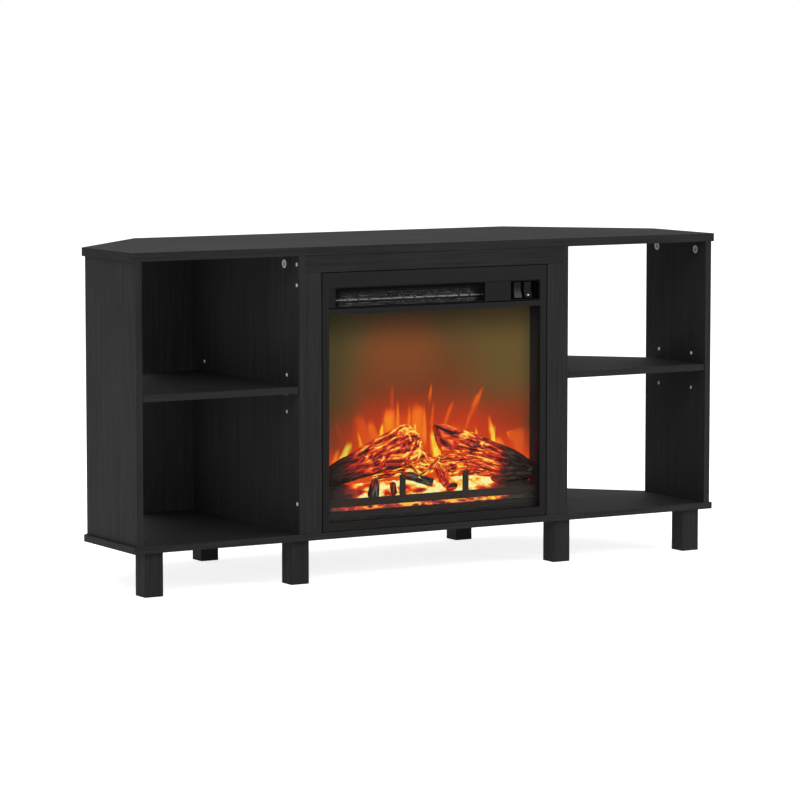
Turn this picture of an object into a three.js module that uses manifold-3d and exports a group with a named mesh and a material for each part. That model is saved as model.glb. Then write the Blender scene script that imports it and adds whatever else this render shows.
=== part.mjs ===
// Fireplace TV stand with cut back corners, two open side bays and an electric fireplace insert.
// Millimetres, +X to the right seen from the front, -Y to the front, +Z up, floor at Z = 0.
import * as THREE from 'three';
import { mergeVertices } from 'three/addons/utils/BufferGeometryUtils.js';
import Module from 'manifold-3d';

const wasm = await Module();
wasm.setup();

// Driving dimensions of the cabinet
const width = 1200;
const depth = 404;
const sideDepth = 196;
const backWidth = 788;
const innerHeight = 486;
const topThickness = 15;
const boardThickness = 12;
const sideOverhang = 5.5;
const frontSetback = 1;
const backSetback = 1.5;

// Legs
const legSection = 35;
const legHeight = 77;
const legFrontInset = 10;
const legBackInset = 21;
const legEndInset = 24;
const studRadius = 4;
const studInPanel = 9;

// Surround of the insert: a rail above it and a stile on each side
const stileWidth = 32.5;
const railHeight = 30;
const surroundThickness = 15;
const openingGap = 2;

// Back panel
const backThickness = 5;
const backEndInset = 3;
const ventWidth = 260;
const ventHeight = 180;
const ventRise = 150;

// Shelves and their pins
const shelfThickness = 12;
const shelfSideGap = 1;
const shelfFrontSetback = 2;
const shelfSideSetback = 30;
const shelfBackSetback = 29;
const pinRadius = 2.5;
const pinInBoard = 8;
const pinOut = 8;
const pinPitch = 32;
const pinRise = 244;
const pinFrontInset = 45;
const pinBackInset = 44;

// Cam locks, cam bolts and dowels
const camRadius = 7.5;
const camThickness = 9;
const camDrop = 16;
const sideCamInset = 34.5;
const partitionCamInset = 53;
const camSlotWidth = 1.4;
const camSlotLength = 9;
const camSlotDepth = 1.5;
const camBoltRadius = 3;
const camBoltInTop = 10;
const dowelRadius = 3;
const dowelOut = 10;
const dowelHeadroom = 1;

// Screws
const baseScrewRadius = 2.5;
const baseScrewHeadRadius = 4.5;
const baseScrewHeadHeight = 2.5;
const baseScrewLength = 42;
const partitionScrewFront = 80;
const partitionScrewBack = 104;
const surroundScrewRadius = 1.8;
const surroundScrewHeadRadius = 3.5;
const surroundScrewHeadHeight = 2;
const surroundScrewLength = 30;
const stileScrewRise = 53;
const stileScrewDrop = 21;
const backScrewRadius = 1.5;
const backScrewLength = 16;
const backScrewRows = 4;
const backScrewEndInset = 40;

// Fireplace insert: front frame and case
const frameWidth = 464;
const frameTopGap = 1.2;
const frameThickness = 8;
const frameBorder = 13.5;
const frameBottomBorder = 16;
const frameTopBorder = 26.2;
const midRailHeight = 10;
const frameLift = 0.8;
const footLift = 1.5;
const footRadius = 10;
const footSideInset = 40;
const footEndInset = 20;
const caseDepth = 132;
const caseWall = 1.5;
const caseDrop = 0.8;
const caseSideInset = 0.5;
const caseSlotCount = 9;
const caseSlotRows = 2;
const caseSlotEndInset = 26;
const caseSlotGap = 6;
const caseSlotHeight = 4;
const caseSlotPitch = 12;
const caseSlotDrop = 30;

// Control strip, its grille opening and its switch opening
const stripHeight = 35.5;
const stripSeam = 1.5;
const stripSetback = 1.5;
const stripThickness = 2.5;
const stripRim = 1.25;
const grilleLeftMargin = 13.7;
const grilleSwitchGap = 54.7;
const grilleColumns = 28;
const grilleRows = 3;
const grilleBar = 1.2;
const grilleThickness = 1;
const grilleBorder = 3;
const switchPlateWidth = 60;
const switchRightMargin = 1.6;
const switchPlateThickness = 2;
const switchPlateSetback = 2.5;

// Rockers
const rockerWidth = 15;
const rockerHeight = 28;
const rockerFrontReach = 4;
const rockerDish = 2.6;
const rockerTilt = 8;
const rockerLeftMargin = 8;
const rockerPitch = 21.3;
const rockerPivotDepth = 2.3;
const rockerHousingWall = 2;
const trunnionRadius = 1.4;
const trunnionLength = 1.2;
const lampWidth = 7;
const lampHeight = 3.2;
const lampThickness = 1.6;
const lampRise = 4.5;

// Fire: glass, screen, ledge, ember bed, grate and logs
const glassThickness = 4;
const screenDepth = 52;
const screenThickness = 2;
const ledgeHeight = 31;
const ledgeStepHeight = 23;
const ledgeStepDepth = 1;
const ledgeFrontGap = 0.7;
const bedFrontGap = 0.6;
const bedFrontHeight = 10;
const bedBackHeight = 46;
const bedEndInset = 10;
const bedLump = 2.6;
const bedLumpLength = 23;
const bedSteps = 40;
const grateThickness = 4;
const grateBarHeight = 14;
const grateBarRise = 8.5;
const grateEndInset = 4;
const grateFootWidth = 9;
const gratePostWidth = 11;
const gratePostHeight = 36;

const gratePostShares = [-0.275, 0.325];
const bedRows = 4;
const furrowCount = 7;
const furrowShare = 0.05;
const logEndShare = 0.72;
const logEndRoundShare = 0.5;
const logLeanShare = 0.35;
const logs = [
  {
    name: 'left_log',
    rings: 10,
    sides: 16,
    startShares: [-0.915, 0.171],
    endShares: [-0.105, 0.352],
    radiusShares: [0.07, 0.085],
    bowShare: 0.012,
    depthShare: 0.52,
    thicknessShare: 0.42,
    startLean: 0,
    twist: 3,
  },
  {
    name: 'right_log',
    rings: 10,
    sides: 16,
    startShares: [0.11, 0.319],
    endShares: [0.955, 0.162],
    radiusShares: [0.112, 0.05],
    bowShare: 0.008,
    depthShare: 0.52,
    thicknessShare: 0.42,
    startLean: 0.6,
    twist: -4,
  },
  {
    name: 'centre_log',
    rings: 5,
    sides: 10,
    startShares: [-0.2, 0.193],
    endShares: [0.01, 0.15],
    radiusShares: [0.032, 0.03],
    bowShare: 0,
    depthShare: 0.52,
    thicknessShare: 0.26,
    startLean: 0,
    twist: 2,
  },
  {
    name: 'split_log',
    rings: 5,
    sides: 10,
    startShares: [0.06, 0.205],
    endShares: [0.21, 0.112],
    radiusShares: [0.026, 0.026],
    bowShare: 0,
    depthShare: 0.3,
    thicknessShare: 0.25,
    startLean: 0,
    twist: 5,
  },
];

// Divider, duct, heater and blower above the fire
const dividerThickness = 1.5;
const dividerGap = 3;
const ductWall = 1.5;
const ductHeight = 42;
const ductDepth = 92;
const ductEndMargin = 4;
const heaterRadius = 2.2;
const heaterDepth = 8;
const heaterRise = 17.6;
const heaterInWall = 1;
const wheelRadius = 15;
const wheelBladeCount = 12;
const wheelBladeThickness = 1;
const wheelBladeWidth = 5;
const wheelBladeInset = 1.5;
const wheelDiscThickness = 1.5;
const wheelDepth = 68;
const wheelEndGap = 2;
const wheelShaftRadius = 2;
const blowerMotorRadius = 18;
const blowerMotorLength = 34;
const blowerBracketWidth = 26;

// Flame spindle, its bearings and motor, and the lamp board
const spindleDepth = 84;
const spindleRise = 62;
const spindleRadius = 2.5;
const vaneCount = 18;
const vaneReach = 12;
const vaneLength = 14;
const vaneThickness = 0.8;
const vaneAngle = 40;
const bearingThickness = 3;
const bearingWidth = 20;
const bearingEndInset = 12;
const bearingHead = 8;
const spindleMotorRadius = 15;
const spindleMotorLength = 16;
const spindleMotorGap = 4;
const lampBoardEndInset = 40;
const lampBoardDepth = 14;
const lampBoardThickness = 1.6;
const lampBoardRise = 6;
const lampBoardSetback = 8;
const ledCount = 9;
const ledRadius = 3;
const ledHeight = 5;
const standoffRadius = 3;

// Cord gland on the case back
const glandRadius = 8;
const glandFlangeRadius = 11;
const glandFlangeThickness = 2;
const glandLength = 12;
const glandBore = 3.5;
const glandSideInset = 60;
const glandRise = 30;

// Clearances and the overrun of cuts
const seatGap = 0.3;
const fitGap = 0.3;
const overrun = 2;
const weldDistance = 0.0001;

// Levels and faces worked out from the values above
const front = -depth / 2;
const frontFace = front + frontSetback;
const floorTop = legHeight + boardThickness;
const ceiling = floorTop + innerHeight;
const height = ceiling + topThickness;
const cornerSlope = (width - backWidth) / 2 / (depth - sideDepth);
const sideOuter = width / 2 - sideOverhang;
const sideInner = sideOuter - boardThickness;
const sideBack = front + sideDepth - backSetback;
const openingHalf = frameWidth / 2 + openingGap;
const partitionInner = openingHalf + stileWidth;
const partitionOuter = partitionInner + boardThickness;
const backOuterFace = front + depth - backSetback;
const backInnerFace = backOuterFace - backThickness;
const surroundBack = frontFace + surroundThickness;
const railBottom = ceiling - railHeight;

const frameBottom = floorTop + frameLift;
const frameTop = railBottom - frameTopGap;
const frameBack = frontFace + frameThickness;
const windowHalf = frameWidth / 2 - frameBorder;
const stripTop = frameTop - frameTopBorder - fitGap;
const stripBottom = stripTop - stripHeight;
const stripBottomEdge = stripBottom - stripSeam;
const windowBottom = frameBottom + frameBottomBorder;
const windowTop = stripBottomEdge - midRailHeight;
const windowHeight = windowTop - windowBottom;
const stripFront = frontFace + stripSetback;
const stripBack = stripFront + stripThickness;
const grilleLeft = -windowHalf + grilleLeftMargin;
const grilleBottom = stripBottom + stripRim;
const grilleHeight = stripHeight - 2 * stripRim;
const switchRight = windowHalf - switchRightMargin;
const switchLeft = switchRight - switchPlateWidth;
const grilleRight = switchLeft - grilleSwitchGap;
const switchFront = stripFront + switchPlateSetback;
const caseHalf = frameWidth / 2 - caseSideInset;
const caseInnerHalf = caseHalf - caseWall;
const caseBottom = floorTop + footLift;
const caseTop = frameTop - caseDrop;
const caseBack = frameBack + caseDepth;
const caseFloor = caseBottom + caseWall;

const materials = {
  board: new THREE.MeshStandardMaterial({ color: 0x262524, roughness: 0.55, metalness: 0 }),
  boardEdge: new THREE.MeshStandardMaterial({ color: 0x2a2927, roughness: 0.55, metalness: 0 }),
  backBoard: new THREE.MeshStandardMaterial({ color: 0x1b1a19, roughness: 0.7, metalness: 0 }),
  nickel: new THREE.MeshStandardMaterial({ color: 0xc9c7c2, roughness: 0.35, metalness: 0.9 }),
  zinc: new THREE.MeshStandardMaterial({ color: 0xb0aea8, roughness: 0.45, metalness: 0.8 }),
  blackSteel: new THREE.MeshStandardMaterial({ color: 0x232323, roughness: 0.5, metalness: 0.3 }),
  galvanised: new THREE.MeshStandardMaterial({ color: 0x9b9d9e, roughness: 0.5, metalness: 0.8 }),
  glossPlastic: new THREE.MeshStandardMaterial({ color: 0x1a1a1b, roughness: 0.25, metalness: 0 }),
  rubber: new THREE.MeshStandardMaterial({ color: 0x151515, roughness: 0.9, metalness: 0 }),
  redLamp: new THREE.MeshStandardMaterial({ color: 0xd42015, roughness: 0.3, metalness: 0 }),
  glass: new THREE.MeshStandardMaterial({ color: 0xdfe6e8, roughness: 0.05, metalness: 0 }),
  screen: new THREE.MeshStandardMaterial({ color: 0xd9702a, roughness: 0.5, metalness: 0 }),
  ember: new THREE.MeshStandardMaterial({ color: 0xf0a030, roughness: 0.6, metalness: 0 }),
  log: new THREE.MeshStandardMaterial({ color: 0x6a2a1a, roughness: 0.85, metalness: 0 }),
  circuit: new THREE.MeshStandardMaterial({ color: 0x1f5a33, roughness: 0.5, metalness: 0 }),
};

const stand = new THREE.Group();

function addPiece(name, geometry, material) {
  const mesh = new THREE.Mesh(geometry, material);
  mesh.name = name;
  stand.add(mesh);
}

// A span is a [low, high] pair along one axis
const span = (low, length) => [low, low + length];
const around = (centre, length) => [centre - length / 2, centre + length / 2];
const middle = (pair) => (pair[0] + pair[1]) / 2;
const mirrored = (pair, side) => (side > 0 ? pair : [-pair[1], -pair[0]]);

function block(x, y, z) {
  const geometry = new THREE.BoxGeometry(x[1] - x[0], y[1] - y[0], z[1] - z[0]);
  geometry.translate(middle(x), middle(y), middle(z));
  return geometry;
}

const axisX = new THREE.Vector3(1, 0, 0);
const axisY = new THREE.Vector3(0, 1, 0);
const axisZ = new THREE.Vector3(0, 0, 1);
const axisFront = new THREE.Vector3(0, -1, 0);

// A round bar from the point start, along the direction, with its own length
function rod(start, direction, length, radius, sides = 12) {
  const geometry = new THREE.CylinderGeometry(radius, radius, length, sides);
  geometry.translate(0, length / 2, 0);
  geometry.applyQuaternion(new THREE.Quaternion().setFromUnitVectors(axisY, direction));
  geometry.translate(start[0], start[1], start[2]);
  return geometry;
}

// A turned body: the profile is a list of [radius, distance] pairs along the direction
function turned(start, direction, profile, sides = 12) {
  const points = profile.map(([radius, distance]) => new THREE.Vector2(radius, distance));
  const geometry = new THREE.LatheGeometry(points, sides);
  geometry.applyQuaternion(new THREE.Quaternion().setFromUnitVectors(axisY, direction));
  geometry.translate(start[0], start[1], start[2]);
  return geometry;
}

function flatShape(points) {
  return new THREE.Shape(points.map(([u, v]) => new THREE.Vector2(u, v)));
}

// An outline in X and Y, raised along Z
function plateAlongZ(points, z) {
  const settings = { depth: z[1] - z[0], bevelEnabled: false };
  const geometry = new THREE.ExtrudeGeometry(flatShape(points), settings);
  geometry.translate(0, 0, z[0]);
  return geometry;
}

// An outline in Y and Z, drawn out along X
function profileAlongX(points, x) {
  const settings = { depth: x[1] - x[0], bevelEnabled: false };
  const geometry = new THREE.ExtrudeGeometry(flatShape(points), settings);
  geometry.applyMatrix4(new THREE.Matrix4().makeBasis(axisY, axisZ, axisX));
  geometry.translate(x[0], 0, 0);
  return geometry;
}

// A closed body through a row of rings with equal point counts
function loft(rings) {
  const count = rings[0].length;
  const positions = rings.flat().flatMap((point) => [point.x, point.y, point.z]);
  const faces = [];
  for (let ring = 0; ring < rings.length - 1; ring += 1) {
    for (let step = 0; step < count; step += 1) {
      const next = (step + 1) % count;
      const low = ring * count;
      const high = low + count;
      faces.push(low + step, low + next, high + next);
      faces.push(low + step, high + next, high + step);
    }
  }
  [0, rings.length - 1].forEach((ring) => {
    const centre = new THREE.Vector3();
    rings[ring].forEach((point) => centre.addScaledVector(point, 1 / count));
    const centreIndex = positions.length / 3;
    positions.push(centre.x, centre.y, centre.z);
    for (let step = 0; step < count; step += 1) {
      const here = ring * count + step;
      const next = ring * count + ((step + 1) % count);
      faces.push(...(ring === 0 ? [centreIndex, next, here] : [centreIndex, here, next]));
    }
  });
  const geometry = new THREE.BufferGeometry();
  geometry.setAttribute('position', new THREE.Float32BufferAttribute(positions, 3));
  geometry.setIndex(faces);
  return geometry;
}

function solidOf(geometry) {
  const bare = new THREE.BufferGeometry();
  bare.setAttribute('position', geometry.getAttribute('position'));
  bare.setIndex(geometry.getIndex());
  const welded = mergeVertices(bare, weldDistance);
  const vertProperties = new Float32Array(welded.getAttribute('position').array);
  const triVerts = new Uint32Array(welded.getIndex().array);
  return new wasm.Manifold(new wasm.Mesh({ numProp: 3, vertProperties, triVerts }));
}

function geometryOf(solid) {
  const mesh = solid.getMesh();
  const geometry = new THREE.BufferGeometry();
  geometry.setAttribute('position', new THREE.Float32BufferAttribute(mesh.vertProperties, 3));
  geometry.setIndex(new THREE.Uint32BufferAttribute(mesh.triVerts, 1));
  return geometry;
}

function cut(base, tools) {
  const solid = tools.reduce((left, tool) => left.subtract(solidOf(tool)), solidOf(base));
  return geometryOf(solid);
}

function fuse(parts) {
  const solids = parts.map((part) => solidOf(part));
  return geometryOf(solids.reduce((whole, part) => whole.add(part)));
}

// Uprights: each has a side sign, its span in X, its depth span in Y and its fastener places
const uprightHeight = [floorTop, ceiling];
const sideSpan = [sideInner, sideOuter];
const partitionSpan = [partitionInner, partitionOuter];
const sideY = [frontFace, sideBack];
const partitionY = [frontFace, backInnerFace];
const uprights = [];
[-1, 1].forEach((side) => {
  const hand = side < 0 ? 'left' : 'right';
  uprights.push({
    name: `${hand}_side_panel`,
    x: mirrored(sideSpan, side),
    y: sideY,
    bayFace: side * sideInner,
    bayDirection: -side,
    cams: [sideY[0] + sideCamInset, sideY[1] - sideCamInset],
    baseScrews: [sideY[0] + sideCamInset, sideY[1] - sideCamInset],
    holdsSurround: false,
  });
  uprights.push({
    name: `${hand}_partition`,
    x: mirrored(partitionSpan, side),
    y: partitionY,
    bayFace: side * partitionOuter,
    bayDirection: side,
    cams: [partitionY[0] + partitionCamInset, partitionY[1] - partitionCamInset],
    baseScrews: [partitionY[0] + partitionScrewFront, partitionY[1] - partitionScrewBack],
    holdsSurround: true,
  });
});
uprights.forEach((upright) => {
  upright.direction = new THREE.Vector3(upright.bayDirection, 0, 0);
  upright.inward = new THREE.Vector3(-upright.bayDirection, 0, 0);
  upright.centre = middle(upright.x);
});

const camHeight = ceiling - camDrop;
const pinHeights = [-1, 0, 1].map((step) => floorTop + pinRise + step * pinPitch);
const surroundMid = (frontFace + surroundBack) / 2;
const surroundScrewHeights = [
  floorTop + stileScrewRise,
  railBottom - stileScrewDrop,
  railBottom + railHeight / 2,
];

function pinPlaces(upright, wanted) {
  const rows = [upright.y[0] + pinFrontInset, upright.y[1] - pinBackInset];
  return rows.flatMap((y) => wanted.map((z) => [upright.bayFace, y, z]));
}

const pinHoles = (upright) => pinPlaces(upright, pinHeights).map((place) => {
  const start = [place[0] + upright.bayDirection * overrun, place[1], place[2]];
  return rod(start, upright.inward, pinInBoard + fitGap + overrun, pinRadius + fitGap, 8);
});

function camHoles(upright) {
  const start = upright.bayFace + upright.bayDirection * overrun;
  return upright.cams.flatMap((y) => [
    rod([start, y, camHeight], upright.inward, camThickness + fitGap + overrun, camRadius + fitGap, 20),
    rod([upright.centre, y, camHeight], axisZ, camDrop + overrun, camBoltRadius + fitGap, 10),
  ]);
}

const dowelPlace = (upright) => middle(upright.y);

// Each upright has a dowel glued into its top edge and one into its bottom edge
const dowelHoles = (upright) => [floorTop, ceiling].map((z) => {
  const reach = dowelOut + dowelHeadroom;
  const start = [upright.centre, dowelPlace(upright), z - reach];
  return rod(start, axisZ, 2 * reach, dowelRadius + fitGap, 10);
});

const dowels = (upright) => [floorTop, ceiling].map((z) => (
  rod([upright.centre, dowelPlace(upright), z - dowelOut], axisZ, 2 * dowelOut, dowelRadius, 10)
));

const baseScrew = {
  radius: baseScrewRadius,
  headRadius: baseScrewHeadRadius,
  headHeight: baseScrewHeadHeight,
  length: baseScrewLength,
};
const surroundScrew = {
  radius: surroundScrewRadius,
  headRadius: surroundScrewHeadRadius,
  headHeight: surroundScrewHeadHeight,
  length: surroundScrewLength,
};

// The cone and shank of a countersunk screw's hole
function screwHole(start, direction, screw) {
  const profile = [
    [0, -overrun],
    [screw.headRadius, -overrun],
    [screw.headRadius, 0],
    [screw.radius, screw.headHeight],
    [screw.radius, screw.length],
    [0, screw.length],
  ];
  return turned(start, direction, profile, 12);
}

const baseScrewHoles = (upright) => upright.baseScrews.map((y) => (
  screwHole([upright.centre, y, legHeight], axisZ, baseScrew)
));

const surroundScrewHoles = (upright) => surroundScrewHeights.map((z) => (
  screwHole([upright.bayFace, surroundMid, z], upright.inward, surroundScrew)
));

// Back panel screws go through the panel into the partitions' back edges
const backScrewHeights = Array.from({ length: backScrewRows }, (_, row) => {
  const run = innerHeight - 2 * backScrewEndInset;
  return floorTop + backScrewEndInset + (run * row) / (backScrewRows - 1);
});

const backScrewHoles = (upright) => backScrewHeights.map((z) => {
  const start = [upright.centre, backOuterFace + overrun, z];
  return rod(start, axisFront, backScrewLength + overrun, backScrewRadius, 8);
});

function buildUpright(upright) {
  const tools = [...pinHoles(upright), ...camHoles(upright), ...baseScrewHoles(upright)];
  if (upright.holdsSurround) {
    tools.push(...surroundScrewHoles(upright), ...backScrewHoles(upright));
  }
  return fuse([cut(block(upright.x, upright.y, uprightHeight), tools), ...dowels(upright)]);
}

// Legs
const legX = {
  outer: width / 2 - legEndInset - legSection / 2,
  inner: (partitionInner + partitionOuter) / 2,
};
const legFrontY = front + legFrontInset + legSection / 2;
const legBackY = front + depth - legBackInset - legSection / 2;
const legs = [
  { name: 'leg_front_left_end', x: -legX.outer, y: legFrontY },
  { name: 'leg_front_left_middle', x: -legX.inner, y: legFrontY },
  { name: 'leg_front_right_middle', x: legX.inner, y: legFrontY },
  { name: 'leg_front_right_end', x: legX.outer, y: legFrontY },
  { name: 'leg_back_left', x: -legX.inner, y: legBackY },
  { name: 'leg_back_right', x: legX.inner, y: legBackY },
];

// Each leg carries its own stud, which goes up into the bottom panel
function legStud(leg, grow) {
  const start = [leg.x, leg.y, legHeight - overrun];
  return rod(start, axisZ, overrun + studInPanel + grow, studRadius + grow, 10);
}

legs.forEach((leg) => {
  const body = block(around(leg.x, legSection), around(leg.y, legSection), [0, legHeight]);
  addPiece(leg.name, fuse([body, legStud(leg, 0)]), materials.board);
});

// Top and bottom panels share one outline with the back corners cut off
const half = width / 2;
const panelOutline = [
  [-half, front],
  [half, front],
  [half, front + sideDepth],
  [backWidth / 2, front + depth],
  [-backWidth / 2, front + depth],
  [-half, front + sideDepth],
];

const camBoltHoles = (upright) => upright.cams.map((y) => (
  rod([upright.centre, y, camHeight], axisZ, camDrop + camBoltInTop + fitGap, camBoltRadius + fitGap, 10)
));

const topTools = uprights.flatMap((upright) => [...camBoltHoles(upright), dowelHoles(upright)[1]]);
const bottomTools = uprights.flatMap((upright) => [...baseScrewHoles(upright), dowelHoles(upright)[0]]);
bottomTools.push(...legs.map((leg) => legStud(leg, fitGap)));

const topBlank = plateAlongZ(panelOutline, span(ceiling, topThickness));
const bottomBlank = plateAlongZ(panelOutline, span(legHeight, boardThickness));
addPiece('top_panel', cut(topBlank, topTools), materials.board);
addPiece('bottom_panel', cut(bottomBlank, bottomTools), materials.board);
uprights.forEach((upright) => addPiece(upright.name, buildUpright(upright), materials.board));

// Back panel with a vent and cord opening behind the insert
const ventSpanX = around(0, ventWidth);
const ventSpanZ = span(floorTop + ventRise, ventHeight);
const backX = [-backWidth / 2 + backEndInset, backWidth / 2 - backEndInset];
const backBlank = block(backX, [backInnerFace, backOuterFace], uprightHeight);
const backTools = [block(ventSpanX, [backInnerFace - overrun, backOuterFace + overrun], ventSpanZ)];
uprights.filter((upright) => upright.holdsSurround).forEach((upright) => {
  backTools.push(...backScrewHoles(upright));
});
addPiece('back_panel', cut(backBlank, backTools), materials.backBoard);

// Surround of the insert
const partitions = uprights.filter((upright) => upright.holdsSurround);
const surroundY = [frontFace, surroundBack];
const railTools = partitions.map((upright) => surroundScrewHoles(upright)[2]);
const railBody = block([-partitionInner, partitionInner], surroundY, [railBottom, ceiling]);
addPiece('surround_top_rail', cut(railBody, railTools), materials.boardEdge);
partitions.forEach((upright) => {
  const side = Math.sign(upright.centre);
  const stile = block(mirrored([openingHalf, partitionInner], side), surroundY, [floorTop, railBottom]);
  const name = side < 0 ? 'surround_left_stile' : 'surround_right_stile';
  addPiece(name, cut(stile, surroundScrewHoles(upright).slice(0, 2)), materials.boardEdge);
});

// Adjustable shelves on their pins
const shelfBottom = pinHeights[1] + pinRadius + seatGap;
const shelfOuter = sideInner - shelfSideGap;
const shelfInner = partitionOuter + shelfSideGap;
const shelfFront = front + shelfFrontSetback;
const shelfSideBack = front + sideDepth - shelfSideSetback;
const shelfBack = front + depth - shelfBackSetback;
const shelfCorner = shelfOuter - (shelfBack - shelfSideBack) * cornerSlope;
[-1, 1].forEach((side) => {
  const outline = [
    [shelfInner, shelfFront],
    [shelfOuter, shelfFront],
    [shelfOuter, shelfSideBack],
    [shelfCorner, shelfBack],
    [shelfInner, shelfBack],
  ].map(([x, y]) => [side * x, y]);
  const name = side < 0 ? 'left_shelf' : 'right_shelf';
  const ordered = side < 0 ? outline.reverse() : outline;
  addPiece(name, plateAlongZ(ordered, span(shelfBottom, shelfThickness)), materials.board);
});

// Cam fittings: a slotted cam in the upright with its bolt up into the top panel
function camFitting(upright, y) {
  const cam = rod([upright.bayFace, y, camHeight], upright.inward, camThickness, camRadius, 20);
  const slotX = [upright.bayFace - camSlotDepth, upright.bayFace + camSlotDepth];
  const slotted = cut(cam, [
    block(slotX, around(y, camSlotWidth), around(camHeight, camSlotLength)),
    block(slotX, around(y, camSlotLength), around(camHeight, camSlotWidth)),
  ]);
  const boltStart = [upright.centre, y, camHeight + camSlotLength / 2];
  const boltLength = camDrop - camSlotLength / 2 + camBoltInTop;
  return fuse([slotted, rod(boltStart, axisZ, boltLength, camBoltRadius, 10)]);
}

function shelfPin(place, upright) {
  const start = [place[0] - upright.bayDirection * pinInBoard, place[1], place[2]];
  return rod(start, upright.direction, pinInBoard + pinOut, pinRadius, 8);
}

const rowNames = ['front', 'back'];
uprights.forEach((upright) => {
  upright.cams.forEach((y, row) => {
    addPiece(`cam_${upright.name}_${rowNames[row]}`, camFitting(upright, y), materials.zinc);
  });
  pinPlaces(upright, [pinHeights[1]]).forEach((place, row) => {
    addPiece(`shelf_pin_${upright.name}_${rowNames[row]}`, shelfPin(place, upright), materials.nickel);
  });
});

// Insert: front frame with the window and the strip opening
const frameY = [frontFace, frameBack];
const frameCutY = [frontFace - overrun, frameBack + overrun];
const windowX = [-windowHalf, windowHalf];
const frameBlank = block([-frameWidth / 2, frameWidth / 2], frameY, [frameBottom, frameTop]);
addPiece('insert_front_frame', cut(frameBlank, [
  block(windowX, frameCutY, [windowBottom, windowTop]),
  block(windowX, frameCutY, [stripBottomEdge, stripTop + fitGap]),
]), materials.blackSteel);

// Insert: sheet steel case, open to the frame, with slots in its back
const caseX = [-caseHalf, caseHalf];
const caseInnerX = [-caseInnerHalf, caseInnerHalf];
const glandX = -caseHalf + glandSideInset;
const glandZ = caseBottom + glandRise;
const caseHollow = [frameBack - overrun, caseBack - caseWall];
const caseBackCut = [caseBack - caseWall - overrun, caseBack + overrun];
const caseTools = [
  block(caseInnerX, caseHollow, [caseFloor, caseTop - caseWall]),
  rod([glandX, caseBackCut[0], glandZ], axisY, caseWall + 2 * overrun, glandRadius + fitGap, 16),
];
const caseSlotRun = 2 * (caseInnerHalf - caseSlotEndInset);
const caseSlotWidth = (caseSlotRun - (caseSlotCount - 1) * caseSlotGap) / caseSlotCount;
for (let slot = 0; slot < caseSlotCount; slot += 1) {
  const x = (slot - (caseSlotCount - 1) / 2) * (caseSlotWidth + caseSlotGap);
  for (let row = 0; row < caseSlotRows; row += 1) {
    const z = caseTop - caseSlotDrop - row * caseSlotPitch;
    caseTools.push(block(around(x, caseSlotWidth), caseBackCut, around(z, caseSlotHeight)));
  }
}

// The spindle's place is needed by the case, which carries its two bearing brackets
const spindleY = frontFace + spindleDepth;
const spindleZ = caseFloor + spindleRise;
const spindleMotorX = [caseInnerHalf - seatGap - spindleMotorLength, caseInnerHalf - seatGap];
const bearings = [
  span(-caseInnerHalf + bearingEndInset, bearingThickness),
  span(spindleMotorX[0] - spindleMotorGap - bearingThickness, bearingThickness),
];
const bearingParts = bearings.map((x) => {
  const bracketZ = [caseFloor - caseWall / 2, spindleZ + bearingHead];
  const bracket = block(x, around(spindleY, bearingWidth), bracketZ);
  const holeStart = [x[0] - overrun, spindleY, spindleZ];
  return cut(bracket, [rod(holeStart, axisX, bearingThickness + 2 * overrun, spindleRadius + fitGap)]);
});

const footY = [frameBack + footEndInset, caseBack - footEndInset];
const insertFeet = [-1, 1].flatMap((side) => footY.map((y) => (
  rod([side * (caseHalf - footSideInset), y, floorTop], axisZ, footLift + caseWall / 2, footRadius, 16)
)));
const caseBlank = block(caseX, [frameBack, caseBack], [caseBottom, caseTop]);
const caseParts = [cut(caseBlank, caseTools), ...insertFeet, ...bearingParts];
addPiece('insert_case', fuse(caseParts), materials.blackSteel);

// The gland is a turned collar on both sides of the case back, with a bore for the cord
const glandDepth = caseWall + glandFlangeThickness;
const glandProfile = [
  [0, -glandDepth],
  [glandRadius, -glandDepth],
  [glandRadius, 0],
  [glandFlangeRadius, 0],
  [glandFlangeRadius, glandFlangeThickness],
  [glandRadius, glandFlangeThickness],
  [glandRadius, glandLength],
  [0, glandLength],
];
const glandBody = turned([glandX, caseBack, glandZ], axisY, glandProfile, 16);
const glandBoreStart = [glandX, caseBack - glandDepth - overrun, glandZ];
const glandBoreBody = rod(glandBoreStart, axisY, glandDepth + glandLength + 2 * overrun, glandBore, 12);
addPiece('cord_gland', cut(glandBody, [glandBoreBody]), materials.rubber);

// Control strip with the grille opening and the switch opening
const stripX = [-windowHalf + fitGap, windowHalf - fitGap];
const stripCutY = [stripFront - overrun, stripBack + overrun];
const openingZ = span(grilleBottom, grilleHeight);
const stripBlank = block(stripX, [stripFront, stripBack], [stripBottom, stripTop]);
addPiece('control_strip', cut(stripBlank, [
  block([grilleLeft, grilleRight], stripCutY, openingZ),
  block([switchLeft, switchRight], stripCutY, openingZ),
]), materials.blackSteel);

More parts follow.
